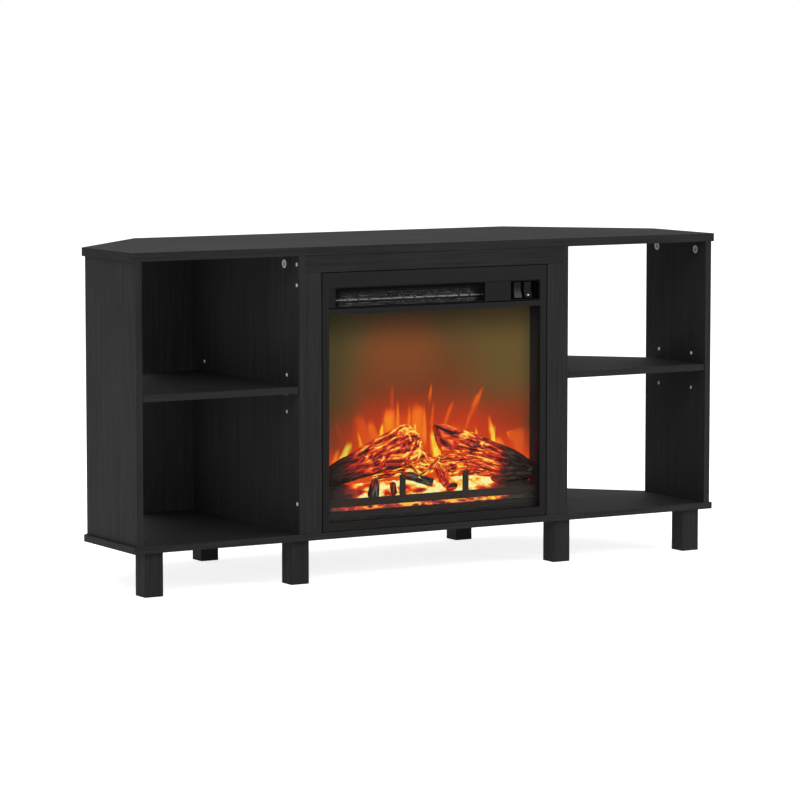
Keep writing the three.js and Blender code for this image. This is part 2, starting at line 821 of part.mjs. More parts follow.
// Mesh grille: crossed flat bars in a border that fits behind the strip
const grilleX = [grilleLeft - grilleBorder, grilleRight + grilleBorder];
const grilleY = span(stripBack + fitGap, grilleThickness);
const grilleZ = [stripBottom, stripTop];
const grilleOpeningX = [grilleLeft, grilleRight];
const grilleBars = [
  block([grilleX[0], grilleOpeningX[0]], grilleY, grilleZ),
  block([grilleOpeningX[1], grilleX[1]], grilleY, grilleZ),
  block(grilleX, grilleY, [grilleZ[0], openingZ[0]]),
  block(grilleX, grilleY, [openingZ[1], grilleZ[1]]),
];
for (let column = 1; column < grilleColumns; column += 1) {
  const x = THREE.MathUtils.lerp(grilleOpeningX[0], grilleOpeningX[1], column / grilleColumns);
  grilleBars.push(block(around(x, grilleBar), grilleY, grilleZ));
}
for (let row = 1; row < grilleRows; row += 1) {
  const z = THREE.MathUtils.lerp(openingZ[0], openingZ[1], row / grilleRows);
  grilleBars.push(block(grilleX, grilleY, around(z, grilleBar)));
}
addPiece('mesh_grille', fuse(grilleBars), materials.blackSteel);

// Switch plate: a face behind the strip with a round-backed housing for each rocker
const rockerRadius = Math.hypot(rockerFrontReach, rockerHeight / 2);
const pivotY = switchFront + rockerPivotDepth;
const pivotZ = grilleBottom + grilleHeight / 2;
const rockerCentres = [0, 1].map((place) => (
  switchLeft + rockerLeftMargin + rockerWidth / 2 + place * rockerPitch
));
const housingReach = rockerRadius + fitGap + rockerHousingWall;
const housingX = [
  rockerCentres[0] - rockerWidth / 2 - trunnionLength - rockerHousingWall,
  rockerCentres[1] + rockerWidth / 2 + trunnionLength + rockerHousingWall,
];
const switchPlateX = [switchLeft + fitGap, switchRight - fitGap];
const switchPlateZ = [grilleBottom + fitGap, grilleBottom + grilleHeight - fitGap];
const housingZ = [pivotZ - grilleHeight / 2 + fitGap, pivotZ + grilleHeight / 2 - fitGap];
const switchBody = fuse([
  block(switchPlateX, span(switchFront, switchPlateThickness), switchPlateZ),
  block(housingX, [switchFront, pivotY + housingReach], housingZ),
]);
const rockerCuts = rockerCentres.flatMap((x) => {
  const wellX = around(x, rockerWidth + 2 * fitGap);
  const trunnionReach = rockerWidth + 2 * (trunnionLength + fitGap);
  return [
    rod([wellX[0], pivotY, pivotZ], axisX, wellX[1] - wellX[0], rockerRadius + fitGap, 32),
    rod([around(x, trunnionReach)[0], pivotY, pivotZ], axisX, trunnionReach, trunnionRadius + fitGap, 10),
  ];
});
addPiece('switch_plate', cut(switchBody, rockerCuts), materials.glossPlastic);

// Rockers: a dished front and a round back about the pivot, at rest with the top pressed in
function rockerProfile() {
  const half = rockerHeight / 2;
  const cornerAngle = Math.atan2(half, -rockerFrontReach);
  const points = [[-rockerFrontReach, -half], [-rockerFrontReach + rockerDish, 0]];
  const arcSteps = 14;
  for (let step = 0; step <= arcSteps; step += 1) {
    const angle = cornerAngle - (2 * cornerAngle * step) / arcSteps;
    points.push([rockerRadius * Math.cos(angle), rockerRadius * Math.sin(angle)]);
  }
  points.pop();
  return points.reverse();
}

const restTilt = THREE.MathUtils.degToRad(-rockerTilt);
function placeAtPivot(geometry, x) {
  geometry.rotateX(restTilt);
  geometry.translate(x, pivotY, pivotZ);
  return geometry;
}

// The lamp is let into the lower half of a rocker's front
const lampSlope = Math.atan2(rockerDish, rockerHeight / 2);
function lampBody(grow) {
  const x = around(0, lampWidth + 2 * grow);
  const y = [grow > 0 ? -overrun : 0, lampThickness + grow];
  const geometry = block(x, y, around(0, lampHeight + 2 * grow));
  geometry.rotateX(-lampSlope);
  const height = -rockerHeight / 2 + lampRise;
  geometry.translate(0, -rockerFrontReach + rockerDish * (1 + height / (rockerHeight / 2)), height);
  return geometry;
}

['flame_rocker', 'heat_rocker'].forEach((name, place) => {
  const trunnionX = around(0, rockerWidth + 2 * trunnionLength);
  const body = fuse([
    profileAlongX(rockerProfile(), around(0, rockerWidth)),
    rod([trunnionX[0], 0, 0], axisX, trunnionX[1] - trunnionX[0], trunnionRadius, 10),
  ]);
  const shaped = place === 1 ? cut(body, [lampBody(fitGap)]) : body;
  addPiece(name, placeAtPivot(shaped, rockerCentres[place]), materials.glossPlastic);
});
addPiece('heat_lamp', placeAtPivot(lampBody(0), rockerCentres[1]), materials.redLamp);

// Window glass and flame screen
const glassY = span(frameBack + fitGap, glassThickness);
const glassX = [-caseInnerHalf + fitGap, caseInnerHalf - fitGap];
const dividerZ = span(windowTop + dividerGap, dividerThickness);
const glassZ = [caseFloor + fitGap, dividerZ[0] - fitGap];
addPiece('window_glass', block(glassX, glassY, glassZ), materials.glass);

const screenFront = frontFace + screenDepth;
const screenY = span(screenFront, screenThickness);
addPiece('flame_screen', block(glassX, screenY, glassZ), materials.screen);

// Hearth ledge: a stepped platform that carries the grate and the ember bed
const ledgeFront = glassY[1] + ledgeFrontGap;
const ledgeBack = screenFront - fitGap;
const ledgeTop = frameBottom + ledgeHeight;
const ledgeStep = frameBottom + ledgeStepHeight;
const ledgeOutline = [
  [ledgeFront, caseFloor + fitGap],
  [ledgeBack, caseFloor + fitGap],
  [ledgeBack, ledgeTop],
  [ledgeFront + ledgeStepDepth, ledgeTop],
  [ledgeFront + ledgeStepDepth, ledgeStep],
  [ledgeFront, ledgeStep],
];
addPiece('hearth_ledge', profileAlongX(ledgeOutline, glassX), materials.blackSteel);

// Fire grate: a bar on two end feet, with two posts in front of the logs
const grateY = span(ledgeFront + ledgeStepDepth + fitGap, grateThickness);
const grateX = [-caseInnerHalf + grateEndInset, caseInnerHalf - grateEndInset];
const grateBarZ = span(ledgeTop + grateBarRise, grateBarHeight);
const grateFootZ = [ledgeTop + seatGap, grateBarZ[1]];
const gratePostZ = [grateBarZ[0], grateBarZ[1] + gratePostHeight];
const gratePosts = gratePostShares.map((share) => (
  block(around(share * windowHalf, gratePostWidth), grateY, gratePostZ)
));
addPiece('fire_grate', fuse([
  block(grateX, grateY, grateBarZ),
  block(span(grateX[0], grateFootWidth), grateY, grateFootZ),
  block(span(grateX[1] - grateFootWidth, grateFootWidth), grateY, grateFootZ),
  ...gratePosts,
]), materials.blackSteel);

// Logs: bent, tapered bars with an oval section and a furrowed bark.
// Places are shares of the window's half width and of its height above the bottom border.
const bedY = [grateY[1] + bedFrontGap, screenFront - 2 * fitGap];
const bedDepth = bedY[1] - bedY[0];

function logBody(log, grow) {
  const start = [log.startShares[0] * windowHalf, windowBottom + log.startShares[1] * windowHeight];
  const end = [log.endShares[0] * windowHalf, windowBottom + log.endShares[1] * windowHeight];
  const slope = Math.atan2(end[1] - start[1], end[0] - start[0]);
  const y = bedY[0] + log.depthShare * bedDepth;
  const rings = [];
  for (let ring = 0; ring <= log.rings; ring += 1) {
    const along = ring / log.rings;
    const x = THREE.MathUtils.lerp(start[0], end[0], along);
    const rise = log.bowShare * windowHeight * Math.sin(Math.PI * along);
    const z = THREE.MathUtils.lerp(start[1], end[1], along) + rise;
    const roundedShare = Math.min(1, logEndShare + Math.min(along, 1 - along) / logEndRoundShare);
    const radiusShare = THREE.MathUtils.lerp(log.radiusShares[0], log.radiusShares[1], along);
    const radius = radiusShare * windowHeight * roundedShare;
    const lean = slope + log.startLean * Math.max(0, 1 - along / logLeanShare);
    const points = [];
    for (let step = 0; step < log.sides; step += 1) {
      const angle = (2 * Math.PI * step) / log.sides;
      const bark = 1 + furrowShare * Math.sin(furrowCount * angle + log.twist * along);
      const across = (radius * bark + grow) * Math.sin(angle);
      const deep = (log.thicknessShare * bedDepth * roundedShare * bark + grow) * Math.cos(angle);
      points.push(new THREE.Vector3(x - across * Math.sin(lean), y + deep, z + across * Math.cos(lean)));
    }
    rings.push(points);
  }
  return loft(rings);
}

logs.forEach((log) => addPiece(log.name, logBody(log, 0), materials.log));

// Ember bed: a lumpy slope that rises to the back and is hollowed where the logs lie in it
function emberBed() {
  const x = [-caseInnerHalf + bedEndInset, caseInnerHalf - bedEndInset];
  const bottom = ledgeTop + seatGap;
  const rings = [];
  for (let step = 0; step <= bedSteps; step += 1) {
    const here = THREE.MathUtils.lerp(x[0], x[1], step / bedSteps);
    const points = [new THREE.Vector3(here, bedY[0], bottom)];
    for (let row = 0; row <= bedRows; row += 1) {
      const back = row / bedRows;
      const phase = row + here / bedLumpLength;
      const lump = bedLump * Math.sin(phase * Math.PI) * Math.cos(phase);
      const top = THREE.MathUtils.lerp(bedFrontHeight, bedBackHeight, back) + lump;
      points.push(new THREE.Vector3(here, THREE.MathUtils.lerp(bedY[0], bedY[1], back), bottom + top));
    }
    points.push(new THREE.Vector3(here, bedY[1], bottom));
    rings.push(points.reverse());
  }
  return cut(loft(rings), logs.map((log) => logBody(log, fitGap)));
}
addPiece('ember_bed', emberBed(), materials.ember);

// Divider sheet above the fire
const innerBack = caseBack - caseWall - fitGap;
const dividerY = [frameBack + fitGap, innerBack];
addPiece('heater_divider', block(glassX, dividerY, dividerZ), materials.galvanised);

// Air duct from the blower to the grille, open at the front and the back
const ductX = [grilleLeft - ductEndMargin, grilleRight + ductEndMargin];
const ductY = span(frameBack + fitGap, ductDepth);
const ductZ = span(dividerZ[1] + seatGap, ductHeight);
const ductInnerX = [ductX[0] + ductWall, ductX[1] - ductWall];
const heaterY = ductY[0] + heaterDepth;
const heaterZ = ductZ[0] + heaterRise;
const wheelY = ductY[0] + wheelDepth;
const wheelZ = middle(ductZ);
const throughDuct = (y, z, radius) => (
  rod([ductX[0] - overrun, y, z], axisX, ductX[1] - ductX[0] + 2 * overrun, radius + fitGap)
);
addPiece('air_duct', cut(block(ductX, ductY, ductZ), [
  block(ductInnerX, [ductY[0] - overrun, ductY[1] + overrun], [ductZ[0] + ductWall, ductZ[1] - ductWall]),
  throughDuct(heaterY, heaterZ, heaterRadius),
  throughDuct(wheelY, wheelZ, wheelShaftRadius),
]), materials.galvanised);

const heaterX = [ductInnerX[0] - heaterInWall, ductInnerX[1] + heaterInWall];
const heaterBody = rod([heaterX[0], heaterY, heaterZ], axisX, heaterX[1] - heaterX[0], heaterRadius);
addPiece('heater_rod', heaterBody, materials.zinc);

// Blower: a cross-flow wheel on a shaft that reaches the motor beside the duct
const blowerMotorX = span(ductX[1] + wheelEndGap, blowerMotorLength);
const wheelX = [ductInnerX[0] + wheelEndGap, ductInnerX[1] - wheelEndGap];
const wheelShaftX = [ductX[0], blowerMotorX[0] - seatGap];
const wheelParts = [
  rod([wheelShaftX[0], 0, 0], axisX, wheelShaftX[1] - wheelShaftX[0], wheelShaftRadius),
  rod([wheelX[0], 0, 0], axisX, wheelDiscThickness, wheelRadius, 24),
  rod([wheelX[1] - wheelDiscThickness, 0, 0], axisX, wheelDiscThickness, wheelRadius, 24),
];
const bladeReach = span(wheelRadius - wheelBladeInset - wheelBladeWidth, wheelBladeWidth);
for (let blade = 0; blade < wheelBladeCount; blade += 1) {
  const geometry = block(wheelX, bladeReach, around(0, wheelBladeThickness));
  geometry.rotateX((2 * Math.PI * blade) / wheelBladeCount);
  wheelParts.push(geometry);
}
const wheelGeometry = fuse(wheelParts);
wheelGeometry.translate(0, wheelY, wheelZ);
addPiece('blower_wheel', wheelGeometry, materials.blackSteel);

const bracketX = around(middle(blowerMotorX), blowerBracketWidth);
addPiece('blower_motor', fuse([
  rod([blowerMotorX[0], wheelY, wheelZ], axisX, blowerMotorLength, blowerMotorRadius, 20),
  block(bracketX, around(wheelY, blowerBracketWidth), [ductZ[0], wheelZ]),
]), materials.zinc);

// Flame spindle: a turning rod with bent vanes that throw light on the screen
const spindleX = [bearings[0][0], spindleMotorX[0] - seatGap];
const vaneRun = [bearings[0][1] + vaneLength, bearings[1][0] - vaneLength];
const spindleParts = [rod([spindleX[0], 0, 0], axisX, spindleX[1] - spindleX[0], spindleRadius)];
for (let vane = 0; vane < vaneCount; vane += 1) {
  const geometry = block(around(0, vaneLength), [0, vaneReach], around(0, vaneThickness));
  geometry.rotateX(THREE.MathUtils.degToRad(vaneAngle * vane));
  geometry.translate(THREE.MathUtils.lerp(vaneRun[0], vaneRun[1], vane / (vaneCount - 1)), 0, 0);
  spindleParts.push(geometry);
}
const spindleGeometry = fuse(spindleParts);
spindleGeometry.translate(0, spindleY, spindleZ);
addPiece('flame_spindle', spindleGeometry, materials.galvanised);

const motorStart = [spindleMotorX[0], spindleY, spindleZ];
const motorBody = rod(motorStart, axisX, spindleMotorLength, spindleMotorRadius, 20);
addPiece('spindle_motor', motorBody, materials.zinc);

// Lamp board below the spindle, on standoffs, with a row of round lamps
const lampBoardX = [-caseInnerHalf + lampBoardEndInset, caseInnerHalf - lampBoardEndInset];
const lampBoardY = span(screenY[1] + lampBoardSetback, lampBoardDepth);
const lampBoardZ = span(caseFloor + lampBoardRise, lampBoardThickness);
const lampParts = [block(lampBoardX, lampBoardY, lampBoardZ)];
const lampRowY = middle(lampBoardY);
for (let led = 0; led < ledCount; led += 1) {
  const x = THREE.MathUtils.lerp(lampBoardX[0], lampBoardX[1], (led + 0.5) / ledCount);
  lampParts.push(rod([x, lampRowY, lampBoardZ[0]], axisZ, lampBoardThickness + ledHeight, ledRadius, 10));
}
lampBoardX.forEach((end) => {
  const x = end - Math.sign(end) * lampBoardDepth / 2;
  const bottom = caseFloor + seatGap;
  lampParts.push(rod([x, lampRowY, bottom], axisZ, lampBoardZ[1] - bottom, standoffRadius, 10));
});
addPiece('lamp_board', fuse(lampParts), materials.circuit);

export default stand;
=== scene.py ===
import math
import random

import bmesh
import bpy
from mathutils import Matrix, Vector, noise


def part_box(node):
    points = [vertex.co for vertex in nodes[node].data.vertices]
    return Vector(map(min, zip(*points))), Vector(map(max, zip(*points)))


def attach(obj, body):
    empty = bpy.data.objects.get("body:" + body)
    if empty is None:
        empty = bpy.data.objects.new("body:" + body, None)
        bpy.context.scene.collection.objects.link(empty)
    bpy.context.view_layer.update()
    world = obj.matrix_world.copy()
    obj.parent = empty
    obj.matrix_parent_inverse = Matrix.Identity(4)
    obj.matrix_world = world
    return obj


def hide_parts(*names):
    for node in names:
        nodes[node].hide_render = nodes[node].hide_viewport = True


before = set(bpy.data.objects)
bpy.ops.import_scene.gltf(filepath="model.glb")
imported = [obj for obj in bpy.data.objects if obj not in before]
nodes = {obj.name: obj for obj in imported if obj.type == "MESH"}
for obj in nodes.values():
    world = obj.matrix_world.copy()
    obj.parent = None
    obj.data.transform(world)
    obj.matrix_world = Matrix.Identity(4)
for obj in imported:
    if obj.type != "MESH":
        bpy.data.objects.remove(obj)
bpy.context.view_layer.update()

mm = 0.001
cabinet = 'cabinet'
scene = bpy.context.scene
print('frame loaded:', len(nodes), 'CAD nodes')


# Colours are written as they look on a screen, 0 to 255
def linear(value):
    share = value / 255
    return share / 12.92 if share <= 0.04045 else ((share + 0.055) / 1.055) ** 2.4


def rgb(red, green, blue):
    return (linear(red), linear(green), linear(blue), 1)


def grey(value):
    return rgb(value, value, value)


# The stops of a ramp, each a position and a colour
def stops(*rows):
    return [(position, rgb(*colour)) for position, *colour in rows]


def scaled(colour, share):
    return tuple(part * share for part in colour[:3]) + (1,)


def mixed(low, high, share):
    return low + (high - low) * share


def held(value, low=0.0, high=1.0):
    return max(low, min(high, value))


def eased(value, low, high):
    share = held((value - low) / (high - low))
    return share * share * (3 - 2 * share)


# A wire is a socket that can be used in sums
class Wire:
    def __init__(self, recipe, socket):
        self.recipe = recipe
        self.socket = socket

    def __add__(self, other):
        return self.recipe.calc('ADD', self, other)

    def __sub__(self, other):
        return self.recipe.calc('SUBTRACT', self, other)

    def __rsub__(self, other):
        return self.recipe.calc('SUBTRACT', other, self)

    def __mul__(self, other):
        return self.recipe.calc('MULTIPLY', self, other)

    def __truediv__(self, other):
        return self.recipe.calc('DIVIDE', self, other)

    def __rtruediv__(self, other):
        return self.recipe.calc('DIVIDE', other, self)

    def __pow__(self, other):
        return self.recipe.calc('POWER', self, other)

    def __abs__(self):
        return self.recipe.calc('ABSOLUTE', self)

    __radd__ = __add__
    __rmul__ = __mul__


# Adds a node to a tree, its settings first and then its inputs
def addNode(tree, kind, settings, inputs):
    node = tree.nodes.new(kind)
    for key, value in (settings or {}).items():
        if key == 'stops':
            ramp = node.color_ramp.elements
            while len(ramp) < len(value):
                ramp.new(1)
            for element, (position, colour) in zip(ramp, value):
                element.position = position
                element.color = colour
        else:
            setattr(node, key, value)
    for key, value in (inputs or {}).items():
        if isinstance(value, (Wire, bpy.types.NodeSocket)):
            tree.links.new(getattr(value, 'socket', value), node.inputs[key])
        else:
            node.inputs[key].default_value = value
    return node


def emptyTree(owner):
    owner.use_nodes = True
    owner.node_tree.nodes.clear()
    return owner.node_tree


def newObject(name, data):
    made = bpy.data.objects.new(name, data)
    scene.collection.objects.link(made)
    return made


# The mesh that an object's modifier makes
def evaluated(item):
    graph = bpy.context.evaluated_depsgraph_get()
    return bpy.data.meshes.new_from_object(item.evaluated_get(graph))


# The shader's sockets that only some materials set
shaderSockets = {
    'metallic': 'Metallic',
    'gloss': 'Specular IOR Level',
    'alpha': 'Alpha',
    'lit': 'Emission Color',
}


# A recipe builds one material
class Recipe:
    def __init__(self, name):
        self.material = bpy.data.materials.new(name)
        self.tree = emptyTree(self.material)
        self.coordinates = self.tree.nodes.new('ShaderNodeTexCoord').outputs['Object']

    def add(self, kind, settings=None, inputs=None, output=0):
        return Wire(self, addNode(self.tree, kind, settings, inputs).outputs[output])

    def calc(self, operation, *values, clamp=False):
        settings = {'operation': operation, 'use_clamp': clamp}
        return self.add('ShaderNodeMath', settings, dict(enumerate(values)))

    def held(self, value):
        return self.calc('ADD', value, 0, clamp=True)

    def smooth(self, value, low, high):
        settings = {'interpolation_type': 'SMOOTHSTEP'}
        return self.add('ShaderNodeMapRange', settings, {0: value, 1: low, 2: high})

    def place(self, scale=(1, 1, 1)):
        return self.add('ShaderNodeMapping', None, {'Vector': self.coordinates, 'Scale': scale})

    def axes(self, scale=(1, 1, 1)):
        parts = addNode(self.tree, 'ShaderNodeSeparateXYZ', None, {0: self.place(scale)}).outputs
        return [Wire(self, part) for part in parts]

    # Noise stretched along the axes of the piece, or over another vector
    def noise(self, stretch=(1, 1, 1), scale=1, detail=4, roughness=0.55, vector=None):
        vector = vector or self.place(stretch)
        inputs = {'Vector': vector, 'Scale': scale, 'Detail': detail, 'Roughness': roughness}
        return self.add('ShaderNodeTexNoise', None, inputs)

    def mix(self, factor, first, second):
        return self.add('ShaderNodeMix', {'data_type': 'RGBA'}, {0: factor, 6: first, 7: second}, output=2)

    def ramp(self, factor, stops):
        return self.add('ShaderNodeValToRGB', {'stops': stops}, {0: factor})

    def attribute(self, name):
        return self.add('ShaderNodeAttribute', {'attribute_name': name}, None, output=2)

    def finish(self, colour, roughness, relief=None, depth=0, **others):
        inputs = {'Base Color': colour, 'Roughness': roughness}
        for key, value in others.items():
            inputs[shaderSockets[key]] = value
        if 'lit' in others:
            inputs['Emission Strength'] = 1
        if relief:
            height = {'Height': relief, 'Distance': depth, 'Strength': 1}
            inputs['Normal'] = self.add('ShaderNodeBump', None, height)
        shader = self.add('ShaderNodeBsdfPrincipled', None, inputs)
        addNode(self.tree, 'ShaderNodeOutputMaterial', None, {'Surface': shader})
        return self.material


# Camera, fitted to the edges of the cabinet in the photograph
photoCamera = {
    'place': (-3.4003, -5.7886, 0.9675),
    'pitchDown': 5.7345,
    'yaw': 30.7562,
    'focalPixels': 3705.4,
    'frameSide': 800,
    'sensor': 36,
    'reach': 100,
}


def makeCamera(look):
    data = bpy.data.cameras.new('photoCamera')
    data.sensor_width = look['sensor']
    data.lens = look['focalPixels'] / look['frameSide'] * look['sensor']
    data.clip_end = look['reach']
    camera = newObject('photoCamera', data)
    camera.location = look['place']
    camera.rotation_euler = (math.radians(90 - look['pitchDown']), 0, -math.radians(look['yaw']))
    scene.camera = camera


makeCamera(photoCamera)
print('camera placed')

# Studio: pale floor, white surroundings and soft lamps
studio = {
    'floorSide': 60,
    'floorColour': grey(208),
    'floorGlow': 0.83,
    'worldGlow': 0.63,
    # Each lamp: place, size and watts
    'lamps': {
        'keyLamp': ((-2.6, -3.4, 3.6), 2.4, 88),
        'fillLamp': ((3.2, -3.2, 1.6), 2.6, 58),
        'topLamp': ((0.2, 1.4, 3.8), 2.6, 56),
    },
    'target': (0, 0, 0.3),
}


# Gives 1 where a ray is of one of the kinds named
def raysOf(tree, *kinds):
    path = tree.nodes.new('ShaderNodeLightPath').outputs
    share = path[kinds[0]]
    for kind in kinds[1:]:
        either = addNode(tree, 'ShaderNodeMath', {'operation': 'MAXIMUM'}, {0: share, 1: path[kind]})
        share = either.outputs[0]
    return share


def makeWorld(look):
    scene.world = bpy.data.worlds.new('studioWorld')
    tree = emptyTree(scene.world)
    room = addNode(tree, 'ShaderNodeBackground', None, {0: grey(255), 1: look['worldGlow']})
    white = addNode(tree, 'ShaderNodeBackground', None, {0: grey(255), 1: 1})
    seen = raysOf(tree, 'Is Camera Ray', 'Is Transmission Ray')
    both = addNode(tree, 'ShaderNodeMixShader', None, {0: seen, 1: room.outputs[0], 2: white.outputs[0]})
    addNode(tree, 'ShaderNodeOutputWorld', None, {0: both.outputs[0]})


def makeFloor(look):
    material = bpy.data.materials.new('studioFloor')
    tree = emptyTree(material)
    matt = addNode(tree, 'ShaderNodeBsdfDiffuse', None, {'Color': look['floorColour']})
    seen = raysOf(tree, 'Is Camera Ray', 'Is Transmission Ray', 'Is Glossy Ray')
    strength = addNode(tree, 'ShaderNodeMath', {'operation': 'MULTIPLY'}, {0: seen, 1: look['floorGlow']})
    glow = addNode(tree, 'ShaderNodeEmission', None, {'Color': grey(255), 'Strength': strength.outputs[0]})
    both = addNode(tree, 'ShaderNodeAddShader', None, {0: matt.outputs[0], 1: glow.outputs[0]})
    addNode(tree, 'ShaderNodeOutputMaterial', None, {'Surface': both.outputs[0]})
    half = look['floorSide'] / 2
    mesh = bpy.data.meshes.new('studioFloor')
    mesh.from_pydata([(-half, -half, 0), (half, -half, 0), (half, half, 0), (-half, half, 0)], [], [range(4)])
    mesh.materials.append(material)
    newObject('studioFloor', mesh)


def makeLamps(look):
    for name, (place, size, watts) in look['lamps'].items():
        data = bpy.data.lights.new(name, 'AREA')
        data.shape = 'DISK'
        data.size = size
        data.energy = watts
        item = newObject(name, data)
        item.location = place
        aim = Vector(look['target']) - Vector(place)
        item.rotation_euler = aim.to_track_quat('-Z', 'Y').to_euler()


makeWorld(studio)
makeFloor(studio)
makeLamps(studio)
scene.view_settings.view_transform = 'Standard'
print('studio ready')


# Geometry trees: a small builder with named inputs
class Growth:
    def __init__(self, name, sizes, counts=()):
        self.tree = bpy.data.node_groups.new(name, 'GeometryNodeTree')
        sockets = self.tree.interface
        kinds = {'Geometry': 'Geometry', **dict.fromkeys(sizes, 'Float'), **dict.fromkeys(counts, 'Int')}
        for label, kind in {**kinds, 'Material': 'Material'}.items():
            sockets.new_socket(name=label, in_out='INPUT', socket_type='NodeSocket' + kind)
        sockets.new_socket(name='Geometry', in_out='OUTPUT', socket_type='NodeSocketGeometry')
        self.given = self.tree.nodes.new('NodeGroupInput').outputs

    def add(self, kind, settings=None, inputs=None, output=0):
        return addNode(self.tree, kind, settings, inputs).outputs[output]

    def calc(self, operation, first, second):
        return self.add('ShaderNodeMath', {'operation': operation}, {0: first, 1: second})

    def times(self, value, share):
        return self.calc('MULTIPLY', value, share)

    def vector(self, x=0, y=0, z=0):
        return self.add('ShaderNodeCombineXYZ', None, {0: x, 1: y, 2: z})

    def cylinder(self, radius, depth, sides):
        inputs = {'Vertices': sides, 'Radius': radius, 'Depth': depth}
        return self.add('GeometryNodeMeshCylinder', None, inputs)

    def cone(self, bottom, top, depth, sides):
        inputs = {'Vertices': sides, 'Radius Top': top, 'Radius Bottom': bottom, 'Depth': depth}
        return self.add('GeometryNodeMeshCone', None, inputs)

    # Two crossing boxes
    def cross(self, length, width, depth):
        sizes = [self.vector(length, width, depth), self.vector(width, length, depth)]
        return [self.add('GeometryNodeMeshCube', None, {'Size': size}) for size in sizes]

    def raised(self, geometry, rise):
        inputs = {'Geometry': geometry, 'Translation': self.vector(z=rise)}
        return self.add('GeometryNodeTransform', None, inputs)

    def without(self, body, *tools):
        for tool in tools:
            inputs = {'Mesh 1': body, 'Mesh 2': tool}
            body = self.add('GeometryNodeMeshBoolean', {'operation': 'DIFFERENCE', 'solver': 'EXACT'}, inputs)
        return body

    def shaded(self, geometry, value):
        settings = {'data_type': 'FLOAT', 'domain': 'POINT'}
        inputs = {'Geometry': geometry, 'Name': 'shade', 'Value': value}
        return self.add('GeometryNodeStoreNamedAttribute', settings, inputs)

    def joined(self, *parts):
        node = self.tree.nodes.new('GeometryNodeJoinGeometry')
        for part in parts:
            self.tree.links.new(part, node.inputs[0])
        return node.outputs[0]

    # Stands an item on each point, along the point's facing
    def onPoints(self, item, seed, turned=True):
        settings = {'data_type': 'FLOAT_VECTOR'}
        facing = self.add('GeometryNodeInputNamedAttribute', settings, {'Name': 'facing'})
        aim = self.add('FunctionNodeAlignRotationToVector', {'axis': 'Z'}, {'Vector': facing})
        inputs = {'Points': self.given['Geometry'], 'Instance': item, 'Rotation': aim}
        placed = self.add('GeometryNodeInstanceOnPoints', None, inputs)
        if turned:
            angles = {2: 0, 3: math.tau, 8: seed}
            spin = self.add('FunctionNodeRandomValue', {'data_type': 'FLOAT'}, angles, output=1)
            turn = {'Instances': placed, 'Rotation': self.vector(z=spin)}
            placed = self.add('GeometryNodeRotateInstances', None, turn)
        return self.close(placed)

    def close(self, geometry):
        real = self.add('GeometryNodeRealizeInstances', None, {'Geometry': geometry})
        inputs = {'Geometry': real, 'Material': self.given['Material']}
        finished = self.add('GeometryNodeSetMaterial', None, inputs)
        self.tree.links.new(finished, self.tree.nodes.new('NodeGroupOutput').inputs[0])
        return self

    def make(self, name, mesh, values, material):
        holder = newObject(name + 'Source', mesh)
        modifier = holder.modifiers.new('growth', 'NODES')
        modifier.node_group = self.tree
        for item in self.tree.interface.items_tree:
            if item.name in values:
                modifier[item.identifier] = values[item.name]
            elif item.name == 'Material':
                modifier[item.identifier] = material
        made = evaluated(holder)
        bpy.data.objects.remove(holder)
        made.materials.clear()
        made.materials.append(material)
        return newObject(name, made)


def facingPoints(name, points):
    mesh = bpy.data.meshes.new(name)
    mesh.from_pydata([place for place, _ in points], [], [])
    attribute = mesh.attributes.new('facing', 'FLOAT_VECTOR', 'POINT')
    for index, (_, facing) in enumerate(points):
        attribute.data[index].vector = facing
    return mesh


def centreOf(node):
    low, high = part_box(node)
    return (low + high) / 2


def camelName(node):
    first, *rest = node.split('_')
    return first + ''.join(word.capitalize() for word in rest)


# A dressed copy of a CAD node: merged, with its flat faces joined and its edges rounded
def softEdged(node, material, edge, segments=2, body=cabinet, angle=30):
    mesh = nodes[node].data.copy()
    shape = bmesh.new()
    shape.from_mesh(mesh)
    bmesh.ops.remove_doubles(shape, verts=shape.verts, dist=0.001 * mm)
    bmesh.ops.dissolve_limit(shape, angle_limit=math.radians(0.5), verts=shape.verts, edges=shape.edges)
    shape.to_mesh(mesh)
    shape.free()
    mesh.materials.clear()
    mesh.materials.append(material)
    piece = newObject(camelName(node), mesh)
    bevel = piece.modifiers.new('softEdge', 'BEVEL')
    bevel.width = edge
    bevel.segments = segments
    bevel.limit_method = 'ANGLE'
    bevel.angle_limit = math.radians(angle)
    made = evaluated(piece)
    piece.modifiers.clear()
    piece.data = made
    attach(piece, body)
    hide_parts(node)


# Black wood-grain laminate: long fine streaks along the grain and an embossed surface
laminate = {
    'dark': grey(20),
    'light': grey(42),
    'streakAcross': 260,
    'streakAlong': 7,
    'poreAcross': 1100,
    'poreAlong': 60,
    'cloudScale': 5,
    'streakShare': 1.3,
    'poreShare': 0.35,
    'cloudShare': 0.5,
    'darkShare': 0.62,
    'poreDepth': 0.10 * mm,
    'gloss': 0.16,
    'roughness': 0.78,
    'polish': 0.14,
}


